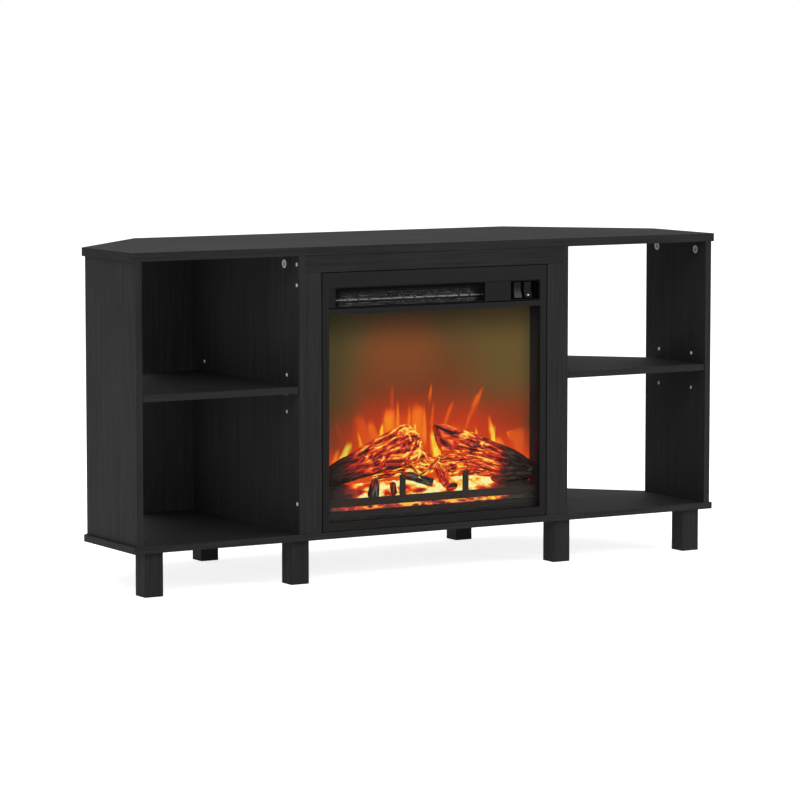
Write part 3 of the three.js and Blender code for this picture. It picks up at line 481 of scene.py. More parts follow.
def laminateMaterial(name, along, look, lift=1, rougher=0):
    def stretched(across, alongGrain):
        return tuple(alongGrain if axis == along else across for axis in 'xyz')

    recipe = Recipe(name)
    streaks = recipe.noise(stretched(look['streakAcross'], look['streakAlong']), detail=5)
    pores = recipe.noise(stretched(look['poreAcross'], look['poreAlong']), detail=3)
    clouds = recipe.noise(scale=look['cloudScale'], detail=2)
    shares = streaks * look['streakShare'] + pores * look['poreShare'] + clouds * look['cloudShare']
    tone = recipe.held(shares - look['darkShare'])
    # lift scales both tones of the grain; above 1 it is a painted fill light
    colour = recipe.mix(tone, scaled(look['dark'], lift), scaled(look['light'], lift))
    relief = recipe.smooth(pores, 0.35, 0.62) * 0.7 + streaks * 0.6
    roughness = look['roughness'] + rougher - tone * look['polish']
    return recipe.finish(colour, roughness, relief, look['poreDepth'], gloss=look['gloss'])


# Each group: material, slot, edge and nodes
boards = [
    (laminateMaterial('topLaminate', 'x', laminate, rougher=0.09), 'board_level', 0.7 * mm,
     ['top_panel', 'surround_top_rail']),
    (laminateMaterial('levelLaminate', 'x', laminate, rougher=-0.02), 'board_level', 0.7 * mm,
     ['bottom_panel', 'left_shelf', 'right_shelf']),
    (laminateMaterial('uprightLaminate', 'z', laminate), 'board_upright', 0.6 * mm,
     ['left_side_panel', 'left_partition', 'right_side_panel', 'right_partition',
      'surround_left_stile', 'surround_right_stile', 'leg_front_left_end', 'leg_front_left_middle',
      'leg_front_right_middle', 'leg_front_right_end', 'leg_back_left', 'leg_back_right']),
    # The back board's tones are lifted as painted fill light, for its face seen in shade inside the bays
    (laminateMaterial('backBoard', 'z', laminate, lift=2.6), 'back_board', 0.4 * mm, ['back_panel']),
]
for material, slot, edge, group in boards:
    for node in group:
        softEdged(node, material, edge)
print('boards dressed')


# Powder coat: satin black with a fine orange-peel texture
def powderCoat(name, dark, light, grain=900, depth=0.05 * mm, roughness=0.42):
    recipe = Recipe(name)
    peel = recipe.noise(scale=grain, detail=2)
    clouds = recipe.noise((1, 1, 4), scale=9, detail=3)
    colour = recipe.mix(recipe.held(clouds * 1.2 - 0.1), dark, light)
    return recipe.finish(colour, clouds * 0.14 + (roughness - 0.07), peel, depth, gloss=0.1)


# Bare sheet or drawn metal, its grain along x
def metalSheet(name, colour, roughness, grain):
    recipe = Recipe(name)
    drawn = recipe.noise((12, grain, grain), detail=3)
    spots = recipe.noise(scale=120, detail=4)
    tone = recipe.mix(recipe.held(drawn * 0.6 + spots * 0.6 - 0.1), scaled(colour, 0.62), colour)
    return recipe.finish(tone, drawn * 0.2 + (roughness - 0.1), drawn, 0.04 * mm, metallic=1)


fasciaCoat = powderCoat('fasciaCoat', grey(17), grey(27), roughness=0.55)
stripCoat = powderCoat('stripCoat', grey(13), grey(21), roughness=0.55)
caseCoat = powderCoat('caseCoat', grey(34), grey(52), roughness=0.5)
castCoat = powderCoat('castCoat', rgb(36, 30, 27), rgb(62, 53, 47), 420, 0.25 * mm, 0.6)
hearthCoat = powderCoat('hearthCoat', rgb(30, 26, 24), rgb(50, 45, 41), 260, 0.3 * mm, 0.5)
ductSheet = metalSheet('ductSheet', grey(95), 0.5, 300)
plainSteel = metalSheet('plainSteel', grey(150), 0.42, 500)
pinNickel = metalSheet('pinNickel', grey(120), 0.35, 900)

insert = {
    'insert_front_frame': (fasciaCoat, 'black_steel', 0.5 * mm),
    'insert_case': (caseCoat, 'black_steel', 0.3 * mm),
    'control_strip': (stripCoat, 'black_steel', 0.3 * mm),
    'hearth_ledge': (hearthCoat, 'black_steel', 0.4 * mm),
    'fire_grate': (castCoat, 'black_steel', 0.6 * mm),
    'heater_divider': (ductSheet, 'galvanised', 0.2 * mm),
    'air_duct': (ductSheet, 'galvanised', 0.2 * mm),
}
for node, (material, slot, edge) in insert.items():
    softEdged(node, material, edge)
print('insert dressed')

# Fasteners that repeat: cams, shelf pins, hole plugs and screws
camLock = {'Radius': 7.4 * mm, 'Depth': 9 * mm, 'Rim Width': 2.4 * mm, 'Rim Depth': 0.9 * mm,
           'Driver Radius': 4.5 * mm, 'Driver Rise': 0.6 * mm,
           'Slot Length': 5.8 * mm, 'Slot Width': 2.1 * mm, 'Slot Depth': 10 * mm}
shelfPin = {'Radius': 2.45 * mm, 'Length': 16 * mm, 'Collar Radius': 3.6 * mm, 'Collar Width': 1.2 * mm}
holePlug = {'Radius': 3.3 * mm, 'Dome': 0.9 * mm, 'Stem Radius': 2.4 * mm, 'Stem Length': 7 * mm}
crossScrew = {'Head Radius': 3.4 * mm, 'Head Height': 2 * mm, 'Recess Length': 3.6 * mm,
              'Recess Width': 0.9 * mm, 'Recess Depth': 1.2 * mm}


def camTree():
    growth = Growth('camLocks', list(camLock))
    given = growth.given
    disc = growth.cylinder(given['Radius'], given['Depth'], 40)
    disc = growth.raised(disc, growth.times(given['Depth'], -0.5))
    bore = growth.calc('SUBTRACT', given['Radius'], given['Rim Width'])
    hollow = growth.cylinder(bore, growth.times(given['Rim Depth'], 2), 40)
    slots = growth.cross(given['Slot Length'], given['Slot Width'], given['Slot Depth'])
    rim = growth.without(disc, hollow, *slots)
    driver = growth.cylinder(given['Driver Radius'], given['Driver Rise'], 32)
    rise = growth.calc('SUBTRACT', growth.times(given['Driver Rise'], 0.5), given['Rim Depth'])
    driver = growth.without(growth.raised(driver, rise), *slots)
    return growth.onPoints(growth.joined(growth.shaded(rim, 0), growth.shaded(driver, 1)), 3)


def pinTree():
    growth = Growth('shelfPins', list(shelfPin))
    given = growth.given
    bar = growth.cylinder(given['Radius'], given['Length'], 20)
    collar = growth.cylinder(given['Collar Radius'], given['Collar Width'], 24)
    collar = growth.raised(collar, growth.times(given['Collar Width'], 0.5))
    return growth.onPoints(growth.joined(bar, collar), 5, turned=False)


def plugTree():
    growth = Growth('holePlugs', list(holePlug))
    given = growth.given
    dome = growth.cone(given['Radius'], growth.times(given['Radius'], 0.55), given['Dome'], 24)
    stem = growth.cylinder(given['Stem Radius'], given['Stem Length'], 16)
    stem = growth.raised(stem, growth.times(given['Stem Length'], -0.5))
    return growth.onPoints(growth.joined(dome, stem), 7, turned=False)


def screwTree():
    growth = Growth('crossScrews', list(crossScrew))
    given = growth.given
    stem = growth.times(given['Head Radius'], 0.45)
    head = growth.cone(stem, given['Head Radius'], given['Head Height'], 28)
    head = growth.raised(head, growth.times(given['Head Height'], -1))
    deep = growth.times(given['Recess Depth'], 2)
    recess = growth.cross(given['Recess Length'], given['Recess Width'], deep)
    return growth.onPoints(growth.without(head, *recess), 11)


def palePlastic(name, colour):
    recipe = Recipe(name)
    mottle = recipe.noise(scale=900, detail=3)
    tone = recipe.mix(mottle, scaled(colour, 0.85), colour)
    return recipe.finish(tone, mottle * 0.15 + 0.32, mottle, 0.02 * mm)


# Places of the fasteners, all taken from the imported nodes. Each upright: the side of its bay
uprights = {'left_side_panel': 1, 'left_partition': -1, 'right_side_panel': -1, 'right_partition': 1}
holes = {
    'pinPitch': 32 * mm,
    'stileRise': 53 * mm,
    'stileDrop': 21 * mm,
    'proud': 0.4 * mm,
    'backRows': 4,
    'backEndInset': 40 * mm,
}
stileLow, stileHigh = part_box('surround_left_stile')
railMiddle = centreOf('surround_top_rail')
backLow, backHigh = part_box('back_panel')
firstScrew = backLow.z + holes['backEndInset']
lastScrew = backHigh.z - holes['backEndInset']
camPoints = []
pinPoints = []
plugPoints = []
screwPoints = []
for upright, bay in uprights.items():
    low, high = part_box(upright)
    bayFace = high.x if bay > 0 else low.x
    facing = (bay, 0, 0)
    for end in ('front', 'back'):
        camLow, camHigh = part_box(f'cam_{upright}_{end}')
        camPoints.append(((bayFace, (camLow.y + camHigh.y) / 2, camLow.z + camLock['Radius']), facing))
        pin = centreOf(f'shelf_pin_{upright}_{end}')
        pinPoints.append(((bayFace, pin.y, pin.z), facing))
        for step in (-1, 1):
            plugPoints.append(((bayFace, pin.y, pin.z + step * holes['pinPitch']), facing))
    if upright.endswith('partition'):
        stile = (bayFace + bay * holes['proud'], (stileLow.y + stileHigh.y) / 2)
        for z in (stileLow.z + holes['stileRise'], stileHigh.z - holes['stileDrop'], railMiddle.z):
            screwPoints.append(((*stile, z), facing))
        back = ((low.x + high.x) / 2, backHigh.y + holes['proud'])
        for row in range(holes['backRows']):
            z = mixed(firstScrew, lastScrew, row / (holes['backRows'] - 1))
            screwPoints.append(((*back, z), (0, 1, 0)))


# The driver in the middle is painted darker than the rim, a painted shade in the cam's recess
def camMaterial():
    recipe = Recipe('camZinc')
    core = recipe.attribute('shade')
    cast = recipe.noise(scale=700, detail=3)
    bright = recipe.mix(cast, grey(196), grey(236))
    dull = recipe.mix(cast, grey(138), grey(186))
    colour = recipe.mix(core, bright, dull)
    return recipe.finish(colour, cast * 0.2 + 0.35, cast, 0.03 * mm, metallic=core * 0.3 + 0.35)


camZinc = camMaterial()
paleHead = palePlastic('paleHead', grey(222))
fastenerSets = [
    ('camLocks', camTree(), camPoints, camLock, camZinc, 'zinc', 'cam_'),
    ('shelfPins', pinTree(), pinPoints, shelfPin, pinNickel, 'nickel', 'shelf_pin_'),
    ('holePlugs', plugTree(), plugPoints, holePlug, paleHead, 'nickel', None),
    ('crossScrews', screwTree(), screwPoints, crossScrew, paleHead, 'zinc', None),
]
for name, growth, points, sizes, material, slot, prefix in fastenerSets:
    piece = growth.make(name, facingPoints(name + 'Places', points), sizes, material)
    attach(piece, cabinet)
    if prefix:
        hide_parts(*[node for node in nodes if node.startswith(prefix)])
print('fasteners placed:', len(camPoints) + len(pinPoints) + len(plugPoints) + len(screwPoints))

# Fine expanded mesh in the grille opening, with painted light from the heater behind it
grille = {
    'Cell Columns': 58,
    'Cell Rows': 9,
    'Wire Radius': 0.62 * mm,
    'border': 3 * mm,
    'edge': 2 * mm,
    'fromLeft': (8 * mm, 20 * mm),
    'fromRight': (14 * mm, 34 * mm),
    'dimTop': (0.9, 0.4),
    'gapHeight': 0.27,
    'gapHalf': (2 * mm, 1 * mm),
    'foot': (0.5 * mm, 2.5 * mm),
}


def grilleTree():
    growth = Growth('expandedMesh', ['Width', 'Height', 'Wire Radius'], ['Cell Columns', 'Cell Rows'])
    given = growth.given
    sheet = growth.add('GeometryNodeMeshGrid', None, {
        'Size X': given['Width'], 'Size Y': given['Height'],
        'Vertices X': given['Cell Columns'], 'Vertices Y': given['Cell Rows'],
    })
    triangles = growth.add('GeometryNodeTriangulate', None, {0: sheet})
    cells = growth.add('GeometryNodeDualMesh', None, {0: triangles})
    wires = growth.add('GeometryNodeMeshToCurve', None, {0: cells})
    circle = {'Resolution': 4, 'Radius': given['Wire Radius']}
    section = growth.add('GeometryNodeCurvePrimitiveCircle', None, circle)
    tubes = growth.add('GeometryNodeCurveToMesh', None, {0: wires, 1: section, 'Fill Caps': True})
    upright = {'Geometry': tubes, 'Rotation': (math.pi / 2, 0, 0)}
    return growth.close(growth.add('GeometryNodeTransform', None, upright))


# Painted light: the wires are painted brighter where the heater's light would catch them, with painted shade
# at the ends and at the top and a painted shadow in the gap under its tube
def meshMaterial(low, high):
    recipe = Recipe('meshCoatPaintedLight')
    x, _, z = recipe.axes()
    worn = recipe.noise((60, 60, 240))
    specks = recipe.noise((330, 60, 420), detail=2)
    start, full = grille['fromLeft']
    end, fullEnd = grille['fromRight']
    # shown is the painted light on the wires, fading to painted shade at both ends, the top, the foot and
    # under the tube; the noise adds a random mottle
    shown = recipe.smooth(x, low.x + start, low.x + full) * recipe.smooth(x, high.x - end, high.x - fullEnd)
    shown = shown * recipe.smooth(z, *(mixed(low.z, high.z, share) for share in grille['dimTop']))
    shown = shown * recipe.smooth(z, *(low.z + rise for rise in grille['foot']))
    tubeShadow = recipe.smooth(abs(z - mixed(low.z, high.z, grille['gapHeight'])), *grille['gapHalf'])
    shown = shown * (1 - tubeShadow) * 0.92
    tone = recipe.held(shown * (worn * 1.2 - 0.1) * (recipe.smooth(specks, 0.42, 0.6) * 1.3 + 0.04))
    return recipe.finish(recipe.mix(tone, grey(4), grey(158)), worn * 0.2 + 0.4, worn, 0.03 * mm, gloss=0.1)


def buildGrille():
    low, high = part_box('mesh_grille')
    sizes = {**grille, 'Width': high.x - low.x - grille['border'], 'Height': high.z - low.z - grille['edge']}
    empty = bpy.data.meshes.new('grilleWires')
    piece = grilleTree().make('grilleWires', empty, sizes, meshMaterial(low, high))
    centre = centreOf('mesh_grille')
    for vertex in piece.data.vertices:
        vertex.co += centre
    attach(piece, cabinet)
    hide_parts('mesh_grille')


buildGrille()
print('grille woven')

# Switches: a gloss black plate and satin rockers, paler towards the foot as a painted sheen where the
# rocker's lower half catches the light
switches = {
    'plate': (grey(1), grey(3)),
    'plateShine': 0.005,
    'plateEdge': 0.2 * mm,
    'rockers': {'flame_rocker': (grey(8), grey(60)), 'heat_rocker': (grey(8), grey(14))},
    'rockerEdge': 0.4 * mm,
    'worn': (0.75, 0.1),
    'peel': 1500,
    'peelDepth': 0.01 * mm,
    'lens': (rgb(54, 7, 10), rgb(232, 158, 162)),
    'lensEdge': 0.3 * mm,
}


def glossPlastic():
    recipe = Recipe('blackGloss')
    clouds = recipe.noise(scale=60, detail=3)
    peel = recipe.noise(scale=switches['peel'], detail=1)
    colour = recipe.mix(clouds, *switches['plate'])
    shine = switches['plateShine']
    return recipe.finish(colour, clouds * 0.12 + 0.24, peel, switches['peelDepth'], gloss=shine)


def rockerSatin(node, top, foot):
    low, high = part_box(node)
    recipe = Recipe(camelName(node) + 'Satin')
    height = recipe.axes()[2]
    clouds = recipe.noise(scale=240, detail=3)
    peel = recipe.noise(scale=switches['peel'], detail=1)
    # Painted sheen: the rocker is painted paler from the top towards its foot
    worn = recipe.smooth(height, *(mixed(low.z, high.z, share) for share in switches['worn']))
    colour = recipe.mix(recipe.held(worn * (clouds * 0.4 + 0.8)), top, foot)
    return recipe.finish(colour, clouds * 0.15 + 0.4, peel, switches['peelDepth'], gloss=0.1)


# The lamp is brightest in its middle
def lensMaterial():
    low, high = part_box('heat_lamp')
    centre = centreOf('heat_lamp')
    recipe = Recipe('redLens')
    x, _, z = recipe.axes()
    aside = (x - centre.x) / (high.x - low.x)
    above = (z - centre.z) / (high.z - low.z)
    ribs = recipe.noise((2500, 300, 300), detail=1)
    core = recipe.smooth(aside * aside * 7 + above * above * 2, 0.36, 0.03)
    glow = recipe.mix(recipe.held(core * (ribs * 0.4 + 0.8)), *switches['lens'])
    return recipe.finish(glow, 0.25, lit=glow)


softEdged('switch_plate', glossPlastic(), switches['plateEdge'])
for node, (top, foot) in switches['rockers'].items():
    satin = rockerSatin(node, top, foot)
    softEdged(node, satin, switches['rockerEdge'], segments=3, body=node, angle=35)
softEdged('heat_lamp', lensMaterial(), switches['lensEdge'], body='heat_rocker')
print('switches dressed')

# Flame picture on the lit screen, in millimetres above the window's foot
screen = {
    'foot': 105.8,
    'height': 364.5,
    'wispAcross': 36,
    'wispAlong': 9,
    'wander': 20,
    'fineAcross': 95,
    'fineAlong': 28,
    'fineWander': 7,
    'fineRise': 14,
    'sheetWander': 9,
    'flicker': 0.4,
    'groundWander': 0.12,
    # Start, full, still full and end across, and how far the tone sinks there
    'hump': (-135, -95, 115, 150, 0.05),
    # Start and full, going down, and the least fire there
    'lowFire': (150, 70, 0.32),
    'ground': stops(
        (0.00, 214, 72, 24), (0.30, 212, 66, 26), (0.40, 196, 58, 26), (0.48, 160, 58, 28),
        (0.56, 126, 60, 31), (0.68, 112, 66, 35), (0.86, 98, 76, 44), (1.00, 92, 74, 44),
    ),
    'olive': rgb(104, 86, 46),
    'oliveShare': 0.85,
    'dusk': rgb(27, 23, 18),
    'topShadowRise': (290, 366),
    'topShadowShare': 0.8,
    'patch': rgb(136, 74, 38),
    'patchPlace': (-40, 292),
    'patchSize': (95, 75),
    'patchShare': 0.8,
    'sideGlow': rgb(178, 52, 27),
    'smoke': rgb(52, 55, 33),
    # Soft areas: where they start and are full, across and in height, and their share there
    'areas': {
        'oliveRight': (20, 190, 150, 260, 1),
        'oliveLeft': (-90, -190, 140, 240, 0.7),
        'farEdge': (222, 229, 250, 180, 0.3),
        'smokeLeft': (-112, -190, 96, 128, 0.66),
        'smokeRight': (200, 232, 84, 114, 0.45),
        'smokeLow': (110, 200, 205, 150, 0.36),
    },
    'fire': stops(
        (0.00, 190, 56, 24), (0.30, 226, 78, 26), (0.58, 250, 122, 28), (0.80, 255, 182, 38),
        (1.00, 255, 232, 86),
    ),
}
# Each tongue: foot x, foot z, height, half width, lean, curl, taper, fade and heat
tongues = [
    (-122, 116, 46, 6, -14, 0, 0.7, 0.5, 0.66),
    (-171, 148, 40, 4, -8, 0, 0.8, 0.6, 0.34),
    (-67, 112, 92, 22, 2, 0, 0.15, 0.34, 0.60),
    (-82, 128, 42, 7, 2, 0, 0.6, 0.4, 0.86),
    (-47, 130, 84, 8, -1, 0, 0.5, 0.4, 0.56),
    (-60, 176, 74, 7, -4, 3, 0.5, 0.5, 0.30),
    (-10, 108, 102, 24, 2, 0, 0.15, 0.34, 0.52),
    (-28, 126, 90, 8, 2, 0, 0.6, 0.6, 0.56),
    (6, 126, 90, 8, 0, 0, 0.6, 0.6, 0.60),
    (-12, 142, 26, 6, 2, 0, 0.7, 0.5, 0.88),
    (19, 206, 34, 5, 3, 0, 0.7, 0.7, 0.46),
    (34, 88, 40, 14, -8, 0, 0.5, 0.4, 0.96),
    (30, 100, 62, 11, -8, 0, 0.7, 0.5, 0.84),
    (22, 150, 60, 5, 8, 0, 0.6, 0.4, 0.38),
    (44, 140, 72, 10, 30, 4, 0.6, 0.4, 0.38),
    (90, 138, 92, 6, 40, 8, 0.1, 0.6, 0.36),
    (112, 184, 50, 10, 26, 0, 0.7, 0.7, 0.44),
    (121, 108, 50, 8, -6, 0, 0.8, 0.6, 0.90),
    (156, 106, 74, 11, -19, 0, 0.8, 0.6, 0.93),
    (150, 112, 48, 6, 8, 0, 0.8, 0.5, 0.66),
    (168, 104, 36, 12, -14, 0, 0.5, 0.7, 0.62),
    (-166, 92, 50, 15, 24, 0, 0.5, 0.4, 1.0),
    (-180, 96, 30, 10, 10, 0, 0.6, 0.4, 0.62),
    (-116, 122, 74, 30, -16, 0, 0.5, 0.4, 0.34),
    (-90, 118, 64, 22, -18, 0, 0.5, 0.4, 0.44),
    (66, 112, 56, 40, 6, 0, 0.5, 0.4, 0.32),
    (-36, 110, 100, 62, 4, 0, 0.4, 0.5, 0.32),
]
sheetFlame = {
    'corner': (183, 131),
    'leftLean': 0.5,
    'slope': 0.45,
    'top': 139.5,
    'body': 0.37,
    'rim': 0.60,
    'rimWidth': 5,
    'rimReach': 30,
    'soft': 3.5,
    'end': 228,
    'endSoft': 14,
}


def flameMaterial():
    recipe = Recipe('flamePicture')
    rawX, _, height = recipe.axes((1 / mm, 1 / mm, 1 / mm))
    rawZ = height - screen['foot']
    wisps = recipe.noise((screen['wispAcross'], 0, screen['wispAlong'])) - 0.5
    fine = recipe.noise((screen['fineAcross'], 0, screen['fineAlong']), detail=3) - 0.5
    x = rawX + wisps * screen['wander'] + fine * screen['fineWander']
    z = rawZ + fine * screen['fineRise']

    def area(name):
        startX, fullX, startZ, fullZ, share = screen['areas'][name]
        return recipe.smooth(rawX, startX, fullX) * recipe.smooth(rawZ, startZ, fullZ) * share

    def highest(first, second):
        return recipe.calc('MAXIMUM', first, second)

    def lowest(first, second):
        return recipe.calc('MINIMUM', first, second)

    # The dim ground behind the flames
    start, full, stillFull, end, depth = screen['hump']
    hump = recipe.smooth(rawX, start, full) * recipe.smooth(rawX, end, stillFull) * depth
    rise = z / screen['height'] + wisps * screen['groundWander'] - hump
    ground = recipe.ramp(recipe.held(rise), screen['ground'])
    olive = highest(area('oliveRight'), area('oliveLeft')) * screen['oliveShare']
    ground = recipe.mix(olive, ground, screen['olive'])
    patchX = (rawX - screen['patchPlace'][0]) / screen['patchSize'][0]
    patchZ = (rawZ - screen['patchPlace'][1]) / screen['patchSize'][1]
    near = recipe.held(1.1 - (patchX * patchX + patchZ * patchZ)) * screen['patchShare']
    ground = recipe.mix(near, ground, screen['patch'])

    # The tongues, the brightest one winning
    fire = 0
    for footX, footZ, height, halfWidth, lean, curl, taper, fade, heat in tongues:
        climb = recipe.held((z - footZ) / height)
        centre = climb * lean + climb * climb * curl + footX
        away = abs(x - centre) / ((1 - climb) ** taper * halfWidth + 0.5)
        core = recipe.smooth(away, 1.2, 0.25) * recipe.smooth(climb, 1.0, 1 - fade)
        fire = highest(fire, core * recipe.smooth(z, footZ - 26, footZ + 8) * heat)

    # A broad sheet of flame at the right, with a bright rim
    cornerX, cornerZ = sheetFlame['corner']
    soft = sheetFlame['soft']
    sheetX = rawX + fine * screen['sheetWander']
    sheetZ = rawZ + (fine + wisps) * screen['sheetWander']
    below = lowest((sheetX - cornerX) * sheetFlame['slope'] + cornerZ, sheetFlame['top']) - sheetZ
    past = sheetX - cornerX + (sheetZ - cornerZ) * sheetFlame['leftLean']
    inside = recipe.smooth(past, -soft, soft) * recipe.smooth(below, -soft, soft) * sheetFlame['body']
    inside = inside * recipe.smooth(rawX, sheetFlame['end'], sheetFlame['end'] - sheetFlame['endSoft'])
    rim = recipe.smooth(lowest(past, below), sheetFlame['rimWidth'], 0) * sheetFlame['rim']
    rim = rim * recipe.smooth(highest(past, below), sheetFlame['rimReach'], 2)
    rim = rim * recipe.smooth(past, -soft, 0) * recipe.smooth(below, -soft, 0)
    fire = highest(fire, highest(inside, rim))
    start, full, least = screen['lowFire']
    fire = highest(fire, recipe.smooth(rawZ, start, full) * least)
    fire = recipe.held(fire + fine * fire * screen['flicker'])
    shown = recipe.mix(recipe.smooth(fire, 0.03, 0.5), ground, recipe.ramp(fire, screen['fire']))

    # A thin glow along the far edge, smoke at the sides, a painted shadow at the top
    shown = recipe.mix(area('farEdge'), shown, screen['sideGlow'])
    smokeLow = area('smokeLow') * recipe.smooth(rawZ, 118, 150)
    smoky = recipe.held(area('smokeLeft') + area('smokeRight') + smokeLow)
    shown = recipe.mix(smoky, shown, screen['smoke'])
    # Painted shadow from the top across the upper part of the screen
    dusk = recipe.smooth(rawZ, *screen['topShadowRise']) * screen['topShadowShare']
    return recipe.finish(grey(4), 0.8, gloss=0.0, lit=recipe.mix(dusk, shown, screen['dusk']))


def dressNode(node, material):
    data = nodes[node].data
    data.materials.clear()
    data.materials.append(material)


dressNode('flame_screen', flameMaterial())


def glassMaterial():
    recipe = Recipe('windowGlass')
    smear = recipe.noise((3, 3, 9), detail=2)
    return recipe.finish(grey(20), smear * 0.05 + 0.02, gloss=0.3, alpha=0.05)


dressNode('window_glass', glassMaterial())
print('screen lit')

# Burning wood: char on the plates, glow in the cracks
charGlow = stops(
    (0.00, 0, 0, 0), (0.15, 30, 9, 7), (0.30, 104, 18, 11), (0.48, 184, 28, 14),
    (0.62, 224, 54, 18), (0.76, 252, 108, 24), (0.89, 255, 186, 40), (1.00, 255, 234, 104),
)


def burningMaterial(name, grainSize=420, streaked=0, hottest=charGlow[-1:]):
    recipe = Recipe(name)
    glow = recipe.attribute('glow')
    ash = recipe.attribute('ash')
    grain = recipe.noise(scale=grainSize, detail=5, roughness=0.65)
    lively = recipe.smooth(glow, 0.05, 0.4)
    heat = glow + (grain - 0.5) * 0.4 * lively
    if streaked:
        scales = {0: recipe.attribute('along') * 46, 1: recipe.attribute('around') * 270}
        fibres = recipe.noise(detail=3, vector=recipe.add('ShaderNodeCombineXYZ', None, scales))
        heat = heat + (fibres - 0.5) * streaked * lively
        ash = ash * recipe.smooth(fibres, 0.42, 0.62)
    char = recipe.mix(grain, rgb(10, 8, 7), rgb(44, 30, 25))
    colour = recipe.mix(recipe.held(ash * (grain * 0.8 + 0.35)), char, rgb(126, 124, 114))
    shine = recipe.ramp(recipe.held(heat), charGlow[:-1] + hottest)
    return recipe.finish(colour, 0.85, grain, 0.5 * mm, gloss=0.2, lit=shine)


woodFire = burningMaterial('woodFire', streaked=1.5)
bedLow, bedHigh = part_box('ember_bed')
marks = ('glow', 'ash', 'along', 'around')


# Joins rings of (place, values of the marks) into a closed skin
def addRings(shape, layers, rings):
    rows = []
    for ring in rings:
        row = []
        for place, values in ring:
            vertex = shape.verts.new(place)
            for layer, value in zip(layers, values):
                vertex[layer] = value
            row.append(vertex)
        rows.append(row)
    for low, high in zip(rows, rows[1:]):
        for side in range(len(low)):
            follow = (side + 1) % len(low)
            shape.faces.new((low[side], low[follow], high[follow], high[side]))
    shape.faces.new(rows[0][::-1])
    shape.faces.new(rows[-1])


def glowingPiece(name, parts, material, replaced=None):
    shape = bmesh.new()
    layers = [shape.verts.layers.float.new(mark) for mark in marks]
    for rings in parts:
        addRings(shape, layers, rings)
    bmesh.ops.recalc_face_normals(shape, faces=shape.faces)
    for face in shape.faces:
        face.smooth = True
    mesh = bpy.data.meshes.new(name)
    shape.to_mesh(mesh)
    shape.free()
    mesh.materials.append(material)
    piece = newObject(name, mesh)
    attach(piece, cabinet)
    if replaced:
        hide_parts(replaced)


# How bark burns, for every log
bark = {
    'step': 1.2 * mm,
    'streakAlong': 25,
    'streakAcross': 200,
    'warp': (24, 34),
    'warpShift': (0.7, 1.4),
    'crackEdge': 4.2,
    'charEdge': 3.4,
    'sparkSize': (190, 190),
    'sparkSpan': (0.72, 0.95),
    'ashSize': (40, 240),
    # Layers of noise: share, stretch along, stretch across, shift, seed
    'streaks': [(1, 1, 1, 0, 10), (0.45, 2.3, 2.1, 0, 11)],
    'chars': [(1, 1.3, 0.75, 7, 20), (0.4, 3, 1.9, 0, 21)],
    'tones': [(1, 0.9, 0.45, 0, 30)],
    'roundShare': 0.2,
    'crackDepth': 2.6 * mm,
    'plate': 2.2 * mm,
    'rough': 0.8 * mm,
    'thin': 12 * mm,
    'frontGap': 0.5 * mm,
    'backGap': 0.2 * mm,
    'capRings': 6,
    'capBulge': 0.4,
    'cutBulge': 0.12,
    'capRelief': 0.4,
    'leanShare': 0.4,
    'coolRest': 0.12,
    'fadeShare': 0.9,
    'plain': {'glow': 0.64, 'crack': 0.44, 'char': 0.38},
    'sawn': {'glow': 0.56, 'crack': 0.1, 'char': 0.26},
    'sawnShare': (0.17, 0.25),
    'toneGlow': 0.42,
    'cutGlow': 0.7,
    'cutRim': 0.5,
}
# What a part of a log has where it says nothing else
plainLog = {'bow': 0, 'lean': 0, 'cool': None, 'fade': None, 'ash': 0.1, 'ends': (0.6, 0.6), 'sparks': 0,
            'cut': (0, 0), 'under': (0, 0)}
